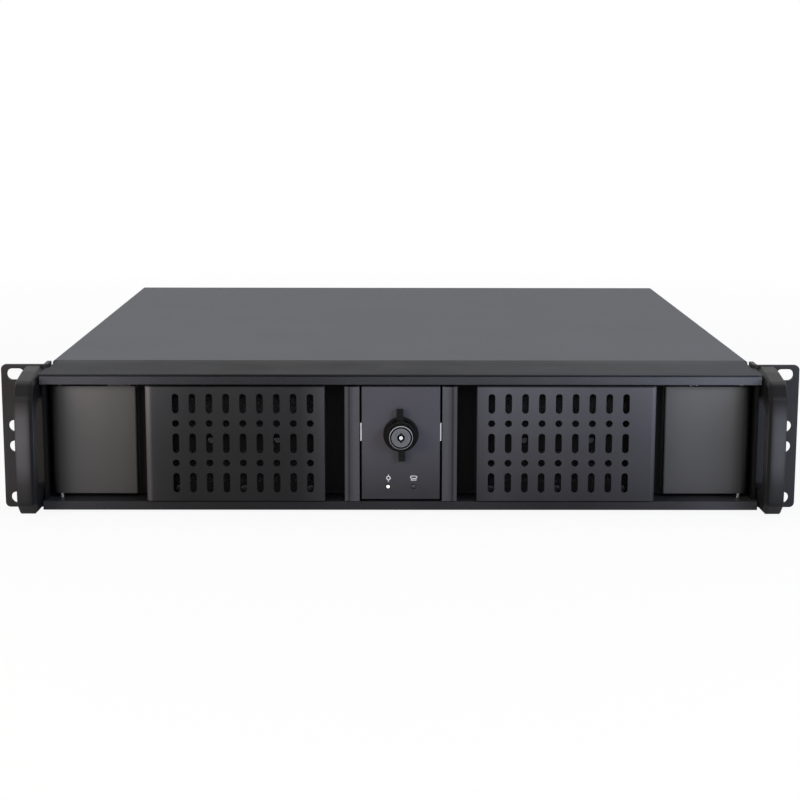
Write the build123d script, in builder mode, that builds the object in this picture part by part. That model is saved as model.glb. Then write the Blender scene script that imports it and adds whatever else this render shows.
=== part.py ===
from build123d import *
from math import atan, cos, degrees, pi, radians, sin, sqrt, tan
import os

# Empty 2U rackmount case with two hinged front doors, in millimetres.
# X runs to the right as seen from the front, Y into the case and Z up.
# The origin lies under the middle of the case, on the surface that it stands on.

# Outer size, and the 19 inch rack's own measures
panel_width = 482.6
panel_height = 88.1
ear_reach = 26.3  # ears beyond the cover's sides
cover_width = panel_width - 2 * ear_reach
case_height = panel_height - 1.0
case_depth = 430.0  # front face of the ears to the back of the cover's lip
handle_reach = 39.5  # front face of the ears to the front of the handles
rear_heads = 2.0  # screw heads behind the lip
rack_slot_edge = 8.75  # slots' middles in from the ears' ends
rack_slot_corner = 5.95  # outer slots' middles in from the top and bottom
rack_hole_spacing = panel_width - 2 * rack_slot_edge
rack_pitch_outer = panel_height - 2 * rack_slot_corner
rack_pitch_inner = 12.7
rack_slot_length = 10.8
rack_slot_height = 7.0

# Sheet metal
sheet = 1.2
fit_gap = 0.3  # play between parts that slide past or over each other
tray_half = cover_width / 2 - sheet - fit_gap
inner_half = tray_half - sheet - 0.1  # plates that stand between the tray's sides
bend_radius = 1.8
tray_flange = 12.0
cover_skirt = 12.0
rear_lip = 8.5
cover_start = 26.3  # front edge of the cover behind the ears' front face
ear_sheet = 2.5
ear_flange_depth = 15.0
ear_bend_radius = 3.1
ear_corner_radius = 3.0
ear_lift = 0.3

# Places that the rest is measured from
total_depth = handle_reach + case_depth + rear_heads
ear_y = handle_reach - total_depth / 2
rear_y = ear_y + case_depth
panel_half = panel_width / 2
ear_middle = ear_lift + panel_height / 2
cover_under = case_height - sheet

# Front rails above and below the doors
rail_front = ear_y - 20.0
rail_half = cover_width / 2 - 0.5
rail_wall = 1.8
window_bottom = 8.5
window_top = case_height - 7.7
top_skin_under = case_height - 3.2
top_nose_height = case_height - 1.4
top_groove_top = top_nose_height - 0.6
top_groove_bottom = top_groove_top - 0.7
groove_depth = 2.5
crest_y = ear_y + 16.0  # where the top starts to slope
crest_radius = 60.0
chin_y = ear_y - 2.0  # where the underside starts to slope
bottom_nose = 3.2
bulkhead_front = ear_y + 3.0
rail_back = bulkhead_front - 2.2  # leaves room for the fan's screw heads
bulkhead_flange = 12.0

# Doors; the right one is drawn and the left one mirrored
door_inner = 24.7
door_face = ear_y - 12.0
door_sheet = 1.5
door_bottom = 11.7
door_top = window_top - 2.3
recess_floor = ear_y - 3.0
recess_outer = 45.5
hinge_x = rail_half - 9.0
knuckle_radius = 5.5
hinge_y = door_face + knuckle_radius
pin_diameter = 3.0
pin_play = 0.08
pin_grip = 1.5  # how far the pin reaches into each rail

# Raised vent plate
vent_outer = 152.0
vent_face = ear_y - 22.0
vent_bottom = 9.3
vent_top = window_top - 1.1
vent_wall = 1.5
vent_edge_radius = 3.0
vent_column_pitch = 10.0
vent_columns = 9
vent_first_column = 54.0
vent_row_pitch = (vent_top - vent_bottom) / 5.75
vent_slot_width = 4.0
vent_slot_length = vent_row_pitch
vent_hole_diameter = 4.2

# Groove in the panel beside the vent plate
side_groove_inner = vent_outer + 1.0
side_groove_outer = vent_outer + 6.6
side_groove_depth = 6.0

# Filter pack behind the vents
filter_thickness = 6.0
filter_margin = 1.5
retainer_sheet = 0.8
window_margin = 6.3
window_bar = 11.0
filter_screw_head = 5.0
filter_screw_rise = 1.5
filter_screw_shank = 2.5
filter_screw_row = 3.0  # rows of screws, in from the panel's edges

# Pull rail along each door's free edge
pull_outer = 33.5
pull_face = ear_y - 21.0
pull_bottom = 8.9
pull_top = vent_top
pull_wall = 1.5
pull_groove_x = 30.6
pull_groove = 0.7

# Centre housing and lock
housing_half = 23.4
housing_face = ear_y - 21.0
housing_bottom = 10.3
housing_top = vent_top
housing_wall = 2.0
lock_z = (vent_top + vent_bottom) / 2 + 6.0
lock_ring_diameter = 21.0
lock_ring_bore = 18.4
lock_ring_rise = 1.5
hub_diameter = 17.4
hub_reach = 5.6
wing_span = 31.6
wing_width = 4.0
wing_thickness = 2.1
wing_tilt = 2.6
knob_lift = 0.4
shaft_diameter = 8.0
shaft_end_diameter = 5.0
shaft_flat = 2.0  # axis to the flat
shaft_play = 0.08
hub_floor = 1.4
cylinder_diameter = 14.0
cylinder_reach = 11.5
cylinder_play = 0.3
rim_groove_outer = 12.6
rim_groove_inner = 11.4
rim_groove_depth = 0.6
plug_diameter = 7.0
plug_floor = 1.0
keyway_diameter = 4.3  # round keyway for a tube-shaped key, with a pin in the middle
keyway_depth = 6.0
key_pin_diameter = 2.2
key_notch_width = 1.3
key_notch_height = 5.8

# Rack and pinion that drives the two bolts
gear_module = 0.7
pinion_teeth = 12
pressure_angle = 25.0
tooth_play = 0.08
bolt_thickness = 3.0
bolt_height = 11.0
bolt_y = ear_y - 12.0
bolt_tip = 24.3
bolt_root = 11.5
rack_reach = 9.0
rack_back = 2.4
keeper_play = 0.6
guide_half = 19.0
guide_sheet = 2.0
guide_post_x = 14.0
guide_post_z = 14.5
guide_post_diameter = 5.0
guide_rib = 1.5
guide_screw_head = 4.0
guide_screw_rise = 1.2
guide_screw_shank = 2.0

# Lamps
lamp_x = 7.6
lamp_z = 17.9
lamp_diameter = 3.0
lamp_rise = 0.8
lamp_flange = 0.5  # wider foot of each lamp on its board
lamp_board_width = 28.0
lamp_board_height = 12.0

# Handles
handle_x = cover_width / 2 + 5.7
handle_width = 10.8
handle_bottom = 2.6
handle_top = panel_height - 0.1
handle_grip = 11.5
handle_inner_bevel = 2.1
handle_outer_bevel = 0.6
opening_bottom = 15.6
opening_top = handle_top - 18.4
handle_screw_z = 9.5
handle_screw_reach = 10.0

# Drive cage behind the left door
cage_sheet = 1.0
cage_depth = 150.0
cage_foot = 10.0
cage_side_gap = 10.0  # cage to the bulkhead's end
cage_top_gap = 7.4  # cage to the case's top
cage_floor = 9.5
large_bay_width = 149.2
small_bay_width = 102.4
small_bay_height = 25.8
large_bay_height = case_height - cage_top_gap - cage_floor - small_bay_height - 2 * cage_sheet
large_screw_y = (47.0, 126.0)  # side screws of the drives, behind the cage's front
large_screw_z = (10.0, 22.0)
small_screw_y = (28.0, 98.0)
small_screw_z = 7.4
drive_slot_length = 10.0
drive_slot_width = 3.6

# Front controls
control_right = tray_half - 15.5
control_left = control_right - 41.0
control_x = (control_left + control_right) / 2
control_bottom = 16.0
control_top = case_height - 15.1
control_height = control_top - control_bottom
control_z = control_bottom + control_height / 2
control_face = ear_y
control_depth = 11.0
control_wall = 2.0
control_flange = 2.0
control_screw_out = 3.0  # screws beyond the block's ends
power_z = control_bottom + control_height * 0.786
power_diameter = 14.0
reset_z = control_bottom + control_height * 0.482
reset_diameter = 6.0
button_play = 0.4
power_rise = 2.0
power_travel = 1.8
reset_travel = 1.2
button_flange = 1.5
button_flange_reach = 1.5
button_gap = 0.3  # flange behind the block's face
stem_diameter = 3.6
switch_size = 6.0
switch_height = 1.4
socket_z = (control_bottom + control_height * 0.25, control_bottom + control_height * 0.089)
socket_width = 13.1
socket_height = 5.7
socket_wall = 0.4
tongue_width = 11.0
tongue_height = 1.8
tongue_length = 8.0

# Fan behind the right door
fan_size = case_height - 7.1
fan_depth = 25.0
fan_offset = 3.8  # from the middle between the housing and the control block
fan_x = (housing_half + control_left) / 2 + fan_offset
fan_z = fan_size / 2 + 3.6
fan_bore = fan_size - 4.0
fan_screw_spacing = fan_size - 8.5
fan_screw_head = 6.5
fan_screw_shank = 4.0
fan_screw_hole = 4.4
fan_flange = 4.0
fan_hub = 31.0
fan_post = 6.0
fan_post_step = 8.0
fan_screw_reach = 8.0
fan_plate = 3.0
fan_blades = 7
blade_thickness = 1.6
fan_tip_gap = 1.0
rotor_gap = 0.6  # rotor to the motor plate
rotor_step = 2.0  # rotor behind the frame's front
rotor_wall = 1.6
rotor_sleeve = 11.0
rotor_sleeve_bore = 6.8

# Rear panel
psu_width = 94.0
psu_edge = 9.5  # opening to the tray's side
psu_right = tray_half - psu_edge
psu_left = psu_right - psu_width
psu_bottom = 9.0
psu_top = case_height - 14.1
psu_length = 160.0
psu_step = 3.0  # shelf below the opening's lower edge
shelf_inner_foot = 12.0
shelf_outer_foot = 7.0
shield_width = 158.75
shield_gap = 13.25  # connector opening to the power supply's
shield_left = psu_left - shield_gap - shield_width
shield_height = 44.45
shield_bottom = 9.5
slot_pitch = 20.32
slot_first = shield_left - 16.0
slot_count = int((slot_first + tray_half - 6.0) / slot_pitch) + 1
slot_width = 13.0
slot_bottom = 7.5
slot_height = case_height - 27.6
slot_screw_rise = 4.5  # screw above the opening
slot_cover_width = 18.4
slot_cover_sheet = 0.9
slot_cover_overlap = 4.0  # cover below the opening
slot_cover_height = slot_height + 12.5
vent_bar_length = 18.0
vent_bar_width = 4.0
vent_bar_pitch = 7.5
vent_bars = 20
rear_face = rear_y - sheet - 0.1

# Board standoffs on the full-size board's hole pattern
standoff_width = 5.8
standoff_bore = 2.5
standoff_height = 6.5
standoff_edge = 23.5  # outer column to the tray's side
middle_column = 3.54  # left of the connector opening
inner_column = 4.81  # inside the connector opening's right end
standoff_x = (
    standoff_edge - tray_half,
    shield_left - middle_column,
    shield_left + shield_width - inner_column,
)
row_edge = 13.0
middle_row = 154.94
front_row = 227.33
standoff_y = [rear_face - row_edge - row for row in (0, middle_row, front_row)]

# Screws
screw_shank = 3.0
screw_head = 5.6
screw_rise = 1.8
ear_screw_z = (ear_middle - 30.0, ear_middle, ear_middle + 30.0)
ear_screw_y = ear_y + ear_flange_depth * 0.6
cover_screw_y = (60.0, case_depth / 2, case_depth - 50.0)
cover_screw_z = case_height - 7.0
lip_screw_x = (standoff_edge - tray_half, 0.0, tray_half - standoff_edge)
lip_screw_z = cover_under - rear_lip / 2

os.makedirs("parts", exist_ok=True)


def at_depth(y):
    # Plane seen from the front at depth y: sketch x is X, sketch y is Z, and a
    # negative extrusion goes back into the case.
    return Plane.XZ.offset(-y)


def folded(points, thickness, radius):
    # Section of a folded sheet: the line of one face with rounded bends, thickened
    # to the left of its direction.
    with BuildSketch() as section:
        with BuildLine():
            FilletPolyline(*points, radius=radius)
            offset(amount=thickness, side=Side.LEFT)
        make_face()
    return section.sketch


def pan_screw(head, rise, shank, length):
    # Pan head screw on +Z, with the underside of its head at the origin.
    with BuildPart() as screw:
        with BuildSketch(Plane.XZ):
            with BuildLine():
                Line((0, -length), (0, rise))
                Line((0, rise), (head * 0.3, rise))
                RadiusArc((head * 0.3, rise), (head / 2, rise * 0.45), rise * 0.8)
                Line((head / 2, rise * 0.45), (head / 2, 0))
                Line((head / 2, 0), (shank / 2, 0))
                Line((shank / 2, 0), (shank / 2, -length))
                Line((shank / 2, -length), (0, -length))
            make_face()
        revolve(axis=Axis.Z)
    return screw.part


def keep(piece, name):
    piece.part.label = name
    export_step(piece.part, f"parts/{name}.step")


def keep_pair(piece, name):
    # Writes the right-hand piece and its mirror image for the left side.
    with BuildPart() as other:
        mirror(piece.part, about=Plane.YZ)
    keep(piece, f"right_{name}")
    keep(other, f"left_{name}")


# Tray: floor and both sides folded from one sheet, with a flange under the cover
with BuildPart() as chassis_tray:
    with BuildSketch(at_depth(ear_y)):
        add(
            folded(
                [
                    (tray_flange - tray_half, cover_under),
                    (-tray_half, cover_under),
                    (-tray_half, 0),
                    (tray_half, 0),
                    (tray_half, cover_under),
                    (tray_half - tray_flange, cover_under),
                ],
                sheet,
                bend_radius,
            )
        )
    extrude(amount=ear_y - rear_face)
    # The flanges stop where the upper rail and the rear panel take over.
    with BuildSketch(Plane.XY.offset(cover_under - sheet * 2)):
        with Locations((0, ear_y + cover_start / 2 + 0.4)):
            Rectangle(2 * (tray_half - sheet), cover_start + 0.8)
        with Locations((0, rear_face - 2.0)):
            Rectangle(2 * (tray_half - sheet), 4.0)
    extrude(amount=sheet * 3, mode=Mode.SUBTRACT)
    # Holes for the ear screws and the cover's side screws
    with BuildSketch(Plane.YZ.offset(-panel_half)):
        with Locations(*[(ear_screw_y, z) for z in ear_screw_z]):
            Circle(screw_shank / 2 + 0.1)
        with Locations(*[(ear_y + y, cover_screw_z) for y in cover_screw_y]):
            Circle(screw_shank / 2 + 0.1)
    extrude(amount=panel_width, mode=Mode.SUBTRACT)
keep(chassis_tray, "chassis_tray")

# Top cover with side skirts and a rear lip
with BuildPart() as top_cover:
    with BuildSketch(at_depth(ear_y + cover_start)):
        add(
            folded(
                [
                    (cover_width / 2, case_height - sheet - cover_skirt),
                    (cover_width / 2, case_height),
                    (-cover_width / 2, case_height),
                    (-cover_width / 2, case_height - sheet - cover_skirt),
                ],
                sheet,
                bend_radius,
            )
        )
    extrude(amount=cover_start - case_depth)
    with BuildSketch(at_depth(rear_y)):
        with Locations((0, cover_under - rear_lip / 2)):
            Rectangle(2 * tray_half - 4, rear_lip)
    extrude(amount=sheet)
    with BuildSketch(Plane.YZ.offset(-panel_half)):
        with Locations(*[(ear_y + y, cover_screw_z) for y in cover_screw_y]):
            Circle(screw_shank / 2 + 0.1)
    extrude(amount=panel_width, mode=Mode.SUBTRACT)
    with BuildSketch(at_depth(rear_y)):
        with Locations(*[(x, lip_screw_z) for x in lip_screw_x]):
            Circle(screw_shank / 2 + 0.1)
    extrude(amount=sheet, mode=Mode.SUBTRACT)
keep(top_cover, "top_cover")

# Upper front rail: extruded, with a sloping top, a shadow groove and a lip for the pins
with BuildPart() as bezel_top_rail:
    with BuildSketch(Plane.YZ.offset(-rail_half)) as section:
        with BuildLine():
            Polyline(
                (ear_y + cover_start - fit_gap, case_height),
                (crest_y, case_height),
                (rail_front, top_nose_height),
                (rail_front, top_groove_top),
                (rail_front + groove_depth, top_groove_top),
                (rail_front + groove_depth, top_groove_bottom),
                (rail_front, top_groove_bottom),
                (rail_front, window_top),
                (rail_back, window_top),
                (rail_back, window_top + rail_wall),
                (rail_front + rail_wall, window_top + rail_wall),
                (rail_front + rail_wall, top_groove_bottom - rail_wall),
                (rail_front + groove_depth + rail_wall, top_groove_bottom - rail_wall),
                (rail_front + groove_depth + rail_wall, top_skin_under),
                (ear_y + cover_start - fit_gap, top_skin_under),
                close=True,
            )
        make_face()
        crest = section.vertices().sort_by_distance((crest_y, case_height))[0]
        fillet(crest, radius=crest_radius)
        nose = section.vertices().sort_by_distance((rail_front, top_groove_bottom))[0]
        fillet(nose, radius=0.8)
        chin = section.vertices().sort_by_distance((rail_front, window_top))[0]
        fillet(chin, radius=0.5)
    extrude(amount=2 * rail_half)
    # Behind the ears the rail fits between the tray's sides.
    with BuildSketch(Plane.XY):
        for side in (-1, 1):
            with Locations((side * tray_half, ear_y + cover_start / 2 - 0.1)):
                Rectangle(2 * (sheet + 0.1), cover_start + 0.2)
    extrude(amount=case_height + 1, mode=Mode.SUBTRACT)
    with BuildSketch(Plane.XY.offset(window_top)):
        with Locations((-hinge_x, hinge_y), (hinge_x, hinge_y)):
            Circle(pin_diameter / 2 + 0.05)
    extrude(amount=pin_grip, mode=Mode.SUBTRACT)
keep(bezel_top_rail, "bezel_top_rail")

# Lower front rail: a box section that stands on the tray's floor
with BuildPart() as bezel_bottom_rail:
    with BuildSketch(Plane.YZ.offset(-rail_half)) as section:
        with BuildLine():
            Polyline(
                (rail_front, window_bottom),
                (rail_back, window_bottom),
                (rail_back, sheet),
                (chin_y, sheet),
                (rail_front, bottom_nose),
                close=True,
            )
        make_face()
        with BuildLine():
            Polyline(
                (rail_front + rail_wall, window_bottom - rail_wall),
                (rail_back - rail_wall, window_bottom - rail_wall),
                (rail_back - rail_wall, sheet + rail_wall),
                (chin_y, sheet + rail_wall),
                (rail_front + rail_wall, bottom_nose + rail_wall),
                close=True,
            )
        make_face(mode=Mode.SUBTRACT)
        nose = section.vertices().sort_by_distance((rail_front, window_bottom))[0]
        fillet(nose, radius=0.5)
        chin = section.vertices().sort_by_distance((rail_front, bottom_nose))[0]
        fillet(chin, radius=0.8)
    extrude(amount=2 * rail_half)
    with BuildSketch(Plane.XY):
        for side in (-1, 1):
            with Locations((side * tray_half, ear_y + 2.0 - 0.1)):
                Rectangle(2 * (sheet + 0.1), 4.0)
    extrude(amount=window_bottom + 1, mode=Mode.SUBTRACT)
    with BuildSketch(Plane.XY.offset(window_bottom - pin_grip)):
        with Locations((-hinge_x, hinge_y), (hinge_x, hinge_y)):
            Circle(pin_diameter / 2 + 0.05)
    extrude(amount=pin_grip, mode=Mode.SUBTRACT)
keep(bezel_bottom_rail, "bezel_bottom_rail")

# End plates between the rails, beside the hinge ends of the doors
with BuildPart() as bezel_end:
    with BuildSketch(Plane.XY.offset(window_bottom)):
        with Locations((rail_half, ear_y)):
            Rectangle(2.5, 14.0, align=(Align.MAX, Align.MAX))
    extrude(amount=window_top - window_bottom)
keep_pair(bezel_end, "bezel_end")

# Rack ears: angles with four slots each and holes for the handle screws
with BuildPart() as ear:
    with BuildSketch(Plane.XY.offset(ear_lift)) as angle:
        with BuildLine():
            Polyline(
                (tray_half, ear_y),
                (panel_half, ear_y),
                (panel_half, ear_y + ear_sheet),
                (tray_half + ear_sheet, ear_y + ear_sheet),
                (tray_half + ear_sheet, ear_y + ear_flange_depth),
                (tray_half, ear_y + ear_flange_depth),
                close=True,
            )
        make_face()
        outer = angle.vertices().sort_by_distance((tray_half, ear_y))[0]
        fillet(outer, radius=ear_bend_radius)
        inner = angle.vertices().sort_by_distance((tray_half + ear_sheet, ear_y + ear_sheet))[0]
        fillet(inner, radius=ear_bend_radius - ear_sheet)
    extrude(amount=panel_height)
    fillet(ear.edges().filter_by(Axis.Y).group_by(Axis.X)[-1], radius=ear_corner_radius)
    with BuildSketch(at_depth(ear_y)):
        for pitch in (rack_pitch_outer, rack_pitch_inner):
            with Locations(
                (rack_hole_spacing / 2, ear_middle - pitch / 2),
                (rack_hole_spacing / 2, ear_middle + pitch / 2),
            ):
                SlotOverall(rack_slot_length, rack_slot_height)
        with Locations((handle_x, handle_screw_z), (handle_x, 2 * ear_middle - handle_screw_z)):
            Circle(screw_shank / 2 + 0.1)
    extrude(amount=-ear_sheet, mode=Mode.SUBTRACT)
    with BuildSketch(Plane.YZ.offset(tray_half - 1)):
        with Locations(*[(ear_screw_y, z) for z in ear_screw_z]):
            Circle(screw_shank / 2 + 0.1)
    extrude(amount=ear_sheet + 2, mode=Mode.SUBTRACT)
keep_pair(ear, "ear")

# Bow handles: side profile through the full width, bevelled along the outer contour
front = ear_y - handle_reach
handle_inner = handle_x - handle_width / 2
bow_corners = (
    (front + 9.0, handle_bottom + 0.5, 5.0),
    (front + 0.6, handle_bottom + 7.9, 4.0),
    (front, ear_middle, 20.0),
    (front + 0.6, handle_top - 13.4, 6.0),
    (front + 6.5, handle_top - 5.1, 8.0),
    (ear_y - 14.0, handle_top - 1.7, 60.0),
)


def beside_opening(edge):
    # True for the edges round the finger opening and on the ear's face.
    middle = edge.center()
    level = opening_bottom - 0.1 < middle.Z < opening_top + 2.0
    return middle.Y > ear_y - 1.0 or (level and middle.Y > front + handle_grip - 1.0)


with BuildPart() as handle:
    with BuildSketch(Plane.YZ.offset(handle_inner)) as side_view:
        with BuildLine():
            Polyline(
                (ear_y, handle_bottom),
                *[(y, z) for y, z, bend in bow_corners],
                (ear_y, handle_top),
                close=True,
            )
        make_face()
        for y, z, bend in bow_corners:
            fillet(side_view.vertices().sort_by_distance((y, z))[0], radius=bend)
        with BuildLine():
            Polyline(
                (ear_y, opening_bottom),
                (front + handle_grip + 6.0, opening_bottom),
                (front + handle_grip, opening_bottom + 6.0),
                (front + handle_grip, opening_top - 4.0),
                (front + handle_grip + 7.0, opening_top + 1.5),
                (ear_y, opening_top),
                close=True,
            )
        make_face(mode=Mode.SUBTRACT)
    extrude(amount=handle_width)
    for side, bevel in ((0, handle_inner_bevel), (-1, handle_outer_bevel)):
        rim = handle.faces().sort_by(Axis.X)[side].outer_wire().edges()
        chamfer([edge for edge in rim if not beside_opening(edge)], length=bevel)
    with BuildSketch(at_depth(ear_y)):
        with Locations((handle_x, handle_screw_z), (handle_x, 2 * ear_middle - handle_screw_z)):
            Circle(screw_shank / 2 + 0.1)
    extrude(amount=handle_screw_reach + 0.2, mode=Mode.SUBTRACT)
keep_pair(handle, "handle")

# Screws behind the ears that hold the handles
with BuildPart() as handle_screws:
    screw = pan_screw(screw_head, screw_rise, screw_shank, ear_sheet + handle_screw_reach)
    for side in (-1, 1):
        for z in (handle_screw_z, 2 * ear_middle - handle_screw_z):
            with Locations(Location((side * handle_x, ear_y + ear_sheet, z), (-90, 0, 0))):
                add(screw)
keep(handle_screws, "handle_screws")

# Screws through the ear flanges into the tray and the bulkhead
with BuildPart() as ear_screws:
    screw = pan_screw(screw_head, screw_rise, screw_shank, ear_sheet + 2 * sheet + 0.6)
    for side in (-1, 1):
        for z in ear_screw_z:
            place = (side * (tray_half + ear_sheet), ear_screw_y, z)
            with Locations(Location(place, (0, side * 90, 0))):
                add(screw)
keep(ear_screws, "ear_screws")

# Screws in the cover's skirts and rear lip
with BuildPart() as cover_screws:
    screw = pan_screw(screw_head, rear_heads, screw_shank, 2 * sheet + 1.5)
    for side in (-1, 1):
        for y in cover_screw_y:
            place = (side * cover_width / 2, ear_y + y, cover_screw_z)
            with Locations(Location(place, (0, side * 90, 0))):
                add(screw)
    for x in lip_screw_x:
        with Locations(Location((x, rear_y, lip_screw_z), (-90, 0, 0))):
            add(screw)
keep(cover_screws, "cover_screws")

# Front bulkhead: flanged plate with bay, fan and control openings
cage_half = large_bay_width / 2 + cage_sheet
cage_centre = cage_side_gap + cage_half - inner_half
corner = fan_screw_spacing / 2
corner_places = [(fan_x + i * corner, fan_z + j * corner) for i in (-1, 1) for j in (-1, 1)]
control_screw_z = (control_top + control_screw_out, control_bottom - control_screw_out)
shelf_z = cage_floor + large_bay_height
with BuildPart() as front_bulkhead:
    with BuildSketch(Plane.XY.offset(sheet)):
        add(
            folded(
                [
                    (-inner_half, bulkhead_front + sheet + bulkhead_flange),
                    (-inner_half, bulkhead_front),
                    (inner_half, bulkhead_front),
                    (inner_half, bulkhead_front + sheet + bulkhead_flange),
                ],
                sheet,
                bend_radius,
            )
        )
    extrude(amount=top_skin_under - sheet)
    with BuildSketch(at_depth(bulkhead_front)):
        with Locations((cage_centre, cage_floor + large_bay_height / 2)):
            Rectangle(large_bay_width, large_bay_height)
        with Locations((cage_centre, shelf_z + cage_sheet + small_bay_height / 2)):
            Rectangle(small_bay_width, small_bay_height)
        with Locations((fan_x, fan_z)):
            Circle(fan_bore / 2 - 1)
        with Locations((control_x, control_z)):
            Rectangle(control_right - control_left + 0.4, control_height + 0.4)
        with Locations((0, (housing_bottom + housing_top) / 2)):
            Circle(8.0)
    extrude(amount=-sheet, mode=Mode.SUBTRACT)
    with BuildSketch(at_depth(bulkhead_front)):
        with Locations(*corner_places):
            Circle(fan_screw_hole / 2)
        with Locations(*[(control_x, z) for z in control_screw_z]):
            Circle(screw_shank / 2 + 0.1)
    extrude(amount=-sheet, mode=Mode.SUBTRACT)
    with BuildSketch(Plane.YZ.offset(-panel_half)):
        with Locations(*[(ear_screw_y, z) for z in ear_screw_z]):
            Circle(screw_shank / 2 + 0.1)
    extrude(amount=panel_width, mode=Mode.SUBTRACT)
keep(front_bulkhead, "front_bulkhead")

# Door panel: plate, finger recess, groove and rounded hinge end in one extruded section
panel_middle = (door_bottom + door_top) / 2
window_left = recess_outer + filter_margin + 3.0
window_right = vent_outer - filter_margin - 4.0
screw_columns = [vent_first_column + i * vent_column_pitch for i in (0, 4, 8)]
bar_columns = [vent_first_column + i * vent_column_pitch for i in (2, 6)]
screw_places = [(x, door_bottom + filter_screw_row) for x in screw_columns]
screw_places += [(x, door_top - filter_screw_row) for x in screw_columns]
screw_places += [(x, panel_middle) for x in bar_columns]
air_height = (door_top - door_bottom - 2 * window_margin - window_bar) / 2


def air_windows():
    # The two air openings, cut in the panel and in the foam's retainer.
    with BuildSketch() as windows:
        for side in (-1, 1):
            with Locations(
                ((window_left + window_right) / 2, panel_middle + side * (window_bar + air_height) / 2)
            ):
                RectangleRounded(window_right - window_left, air_height, 3.0)
    return windows.sketch


with BuildPart() as door_panel:
    with BuildSketch(Plane.XY.offset(door_bottom)):
        add(
            folded(
                [
                    (door_inner, recess_floor - door_sheet),
                    (recess_outer, recess_floor - door_sheet),
                    (recess_outer, door_face),
                    (side_groove_inner, door_face),
                    (side_groove_inner, door_face + side_groove_depth),
                    (side_groove_outer, door_face + side_groove_depth),
                    (side_groove_outer, door_face),
                    (hinge_x, door_face),
                ],
                door_sheet,
                1.0,
            )
        )
        with Locations((hinge_x, hinge_y)):
            Circle(knuckle_radius)
            Circle(pin_diameter / 2 + pin_play, mode=Mode.SUBTRACT)
    extrude(amount=door_top - door_bottom)
    with BuildSketch(at_depth(door_face)):
        add(air_windows())
        with Locations(*screw_places):
            Circle(filter_screw_shank / 2 + 0.1)
    extrude(amount=-door_sheet, mode=Mode.SUBTRACT)
keep_pair(door_panel, "door_panel")

# Vent plate: a shallow tray over the air openings, pierced with slots and round holes
slot_row_z = [panel_middle + i * 2 * vent_row_pitch for i in (-1, 0, 1)]
hole_row_z = [panel_middle + i * vent_row_pitch for i in (-1, 1)]
with BuildPart() as vent_plate:
    with BuildSketch(Plane.XY.offset(vent_bottom)) as plan:
        with Locations((recess_outer, vent_face)):
            Rectangle(vent_outer - recess_outer, door_face - vent_face, align=Align.MIN)
        fillet(plan.vertices().sort_by_distance((vent_outer, vent_face))[0], radius=vent_edge_radius)
    extrude(amount=vent_top - vent_bottom)
    back = vent_plate.faces().sort_by(Axis.Y)[-1]
    offset(amount=-vent_wall, openings=back)
    with BuildSketch(at_depth(vent_face)):
        for i in range(vent_columns):
            x = vent_first_column + i * vent_column_pitch
            with Locations(*[(x, z) for z in slot_row_z]):
                SlotOverall(vent_slot_length, vent_slot_width, rotation=90)
            with Locations(*[(x, z) for z in hole_row_z]):
                Circle(vent_hole_diameter / 2)
    extrude(amount=-vent_wall, mode=Mode.SUBTRACT)
keep_pair(vent_plate, "vent_plate")

# Foam sheet behind the door panel
filter_front = door_face + door_sheet
filter_back = filter_front + filter_thickness
with BuildPart() as filter_foam:
    with BuildSketch(at_depth(filter_front)):
        with Locations(((recess_outer + vent_outer) / 2, panel_middle)):
            Rectangle(
                vent_outer - recess_outer - 2 * filter_margin, door_top - door_bottom - 2 * fit_gap
            )
        with Locations(*screw_places):
            Circle(filter_screw_shank / 2 + 0.3, mode=Mode.SUBTRACT)
    extrude(amount=-filter_thickness)
keep_pair(filter_foam, "filter_foam")

# Retainer that clamps the foam from behind
with BuildPart() as filter_retainer:
    with BuildSketch(at_depth(filter_back)):
        with Locations(((recess_outer + vent_outer) / 2, panel_middle)):
            Rectangle(
                vent_outer - recess_outer - 2 * filter_margin, door_top - door_bottom - 2 * fit_gap
            )
        add(air_windows(), mode=Mode.SUBTRACT)
        with Locations(*screw_places):
            Circle(filter_screw_shank / 2 + 0.1, mode=Mode.SUBTRACT)
    extrude(amount=-retainer_sheet)
keep_pair(filter_retainer, "filter_retainer")

# Screws that show as bright heads behind the vent slots
with BuildPart() as filter_screws:
    length = door_sheet + filter_thickness + retainer_sheet + 1.0
    screw = pan_screw(filter_screw_head, filter_screw_rise, filter_screw_shank, length)
    for x, z in screw_places:
        with Locations(Location((x, door_face, z), (90, 0, 0))):
            add(screw)
keep_pair(filter_screws, "filter_screws")

# Pull rail: hollow upright bar on the free edge, grooved, with a keeper slot for the bolt
keeper_height = bolt_height + 2 * keeper_play
keeper_depth = bolt_thickness + 2 * keeper_play
with BuildPart() as pull_rail:
    with BuildSketch(Plane.XY.offset(pull_bottom)):
        with Locations((door_inner, pull_face)):
            Rectangle(
                pull_outer - door_inner, recess_floor - door_sheet - pull_face, align=Align.MIN
            )
        with Locations((door_inner + pull_wall, pull_face + pull_wall)):
            Rectangle(
                pull_outer - door_inner - 2 * pull_wall,
                recess_floor - door_sheet - pull_face - 2 * pull_wall,
                align=Align.MIN,
                mode=Mode.SUBTRACT,
            )
        with Locations((pull_groove_x, pull_face)):
            Rectangle(pull_groove, 2 * pull_groove, mode=Mode.SUBTRACT)
        with Locations((pull_outer, pull_face)):
            Rectangle(2 * (pull_outer - pull_groove_x), 1.0, mode=Mode.SUBTRACT)
    extrude(amount=pull_top - pull_bottom)
    with BuildSketch(Plane.YZ.offset(door_inner - 1)):
        with Locations((bolt_y, lock_z)):
            Rectangle(keeper_depth, keeper_height)
    extrude(amount=pull_wall + 1, mode=Mode.SUBTRACT)
keep_pair(pull_rail, "pull_rail")

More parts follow.
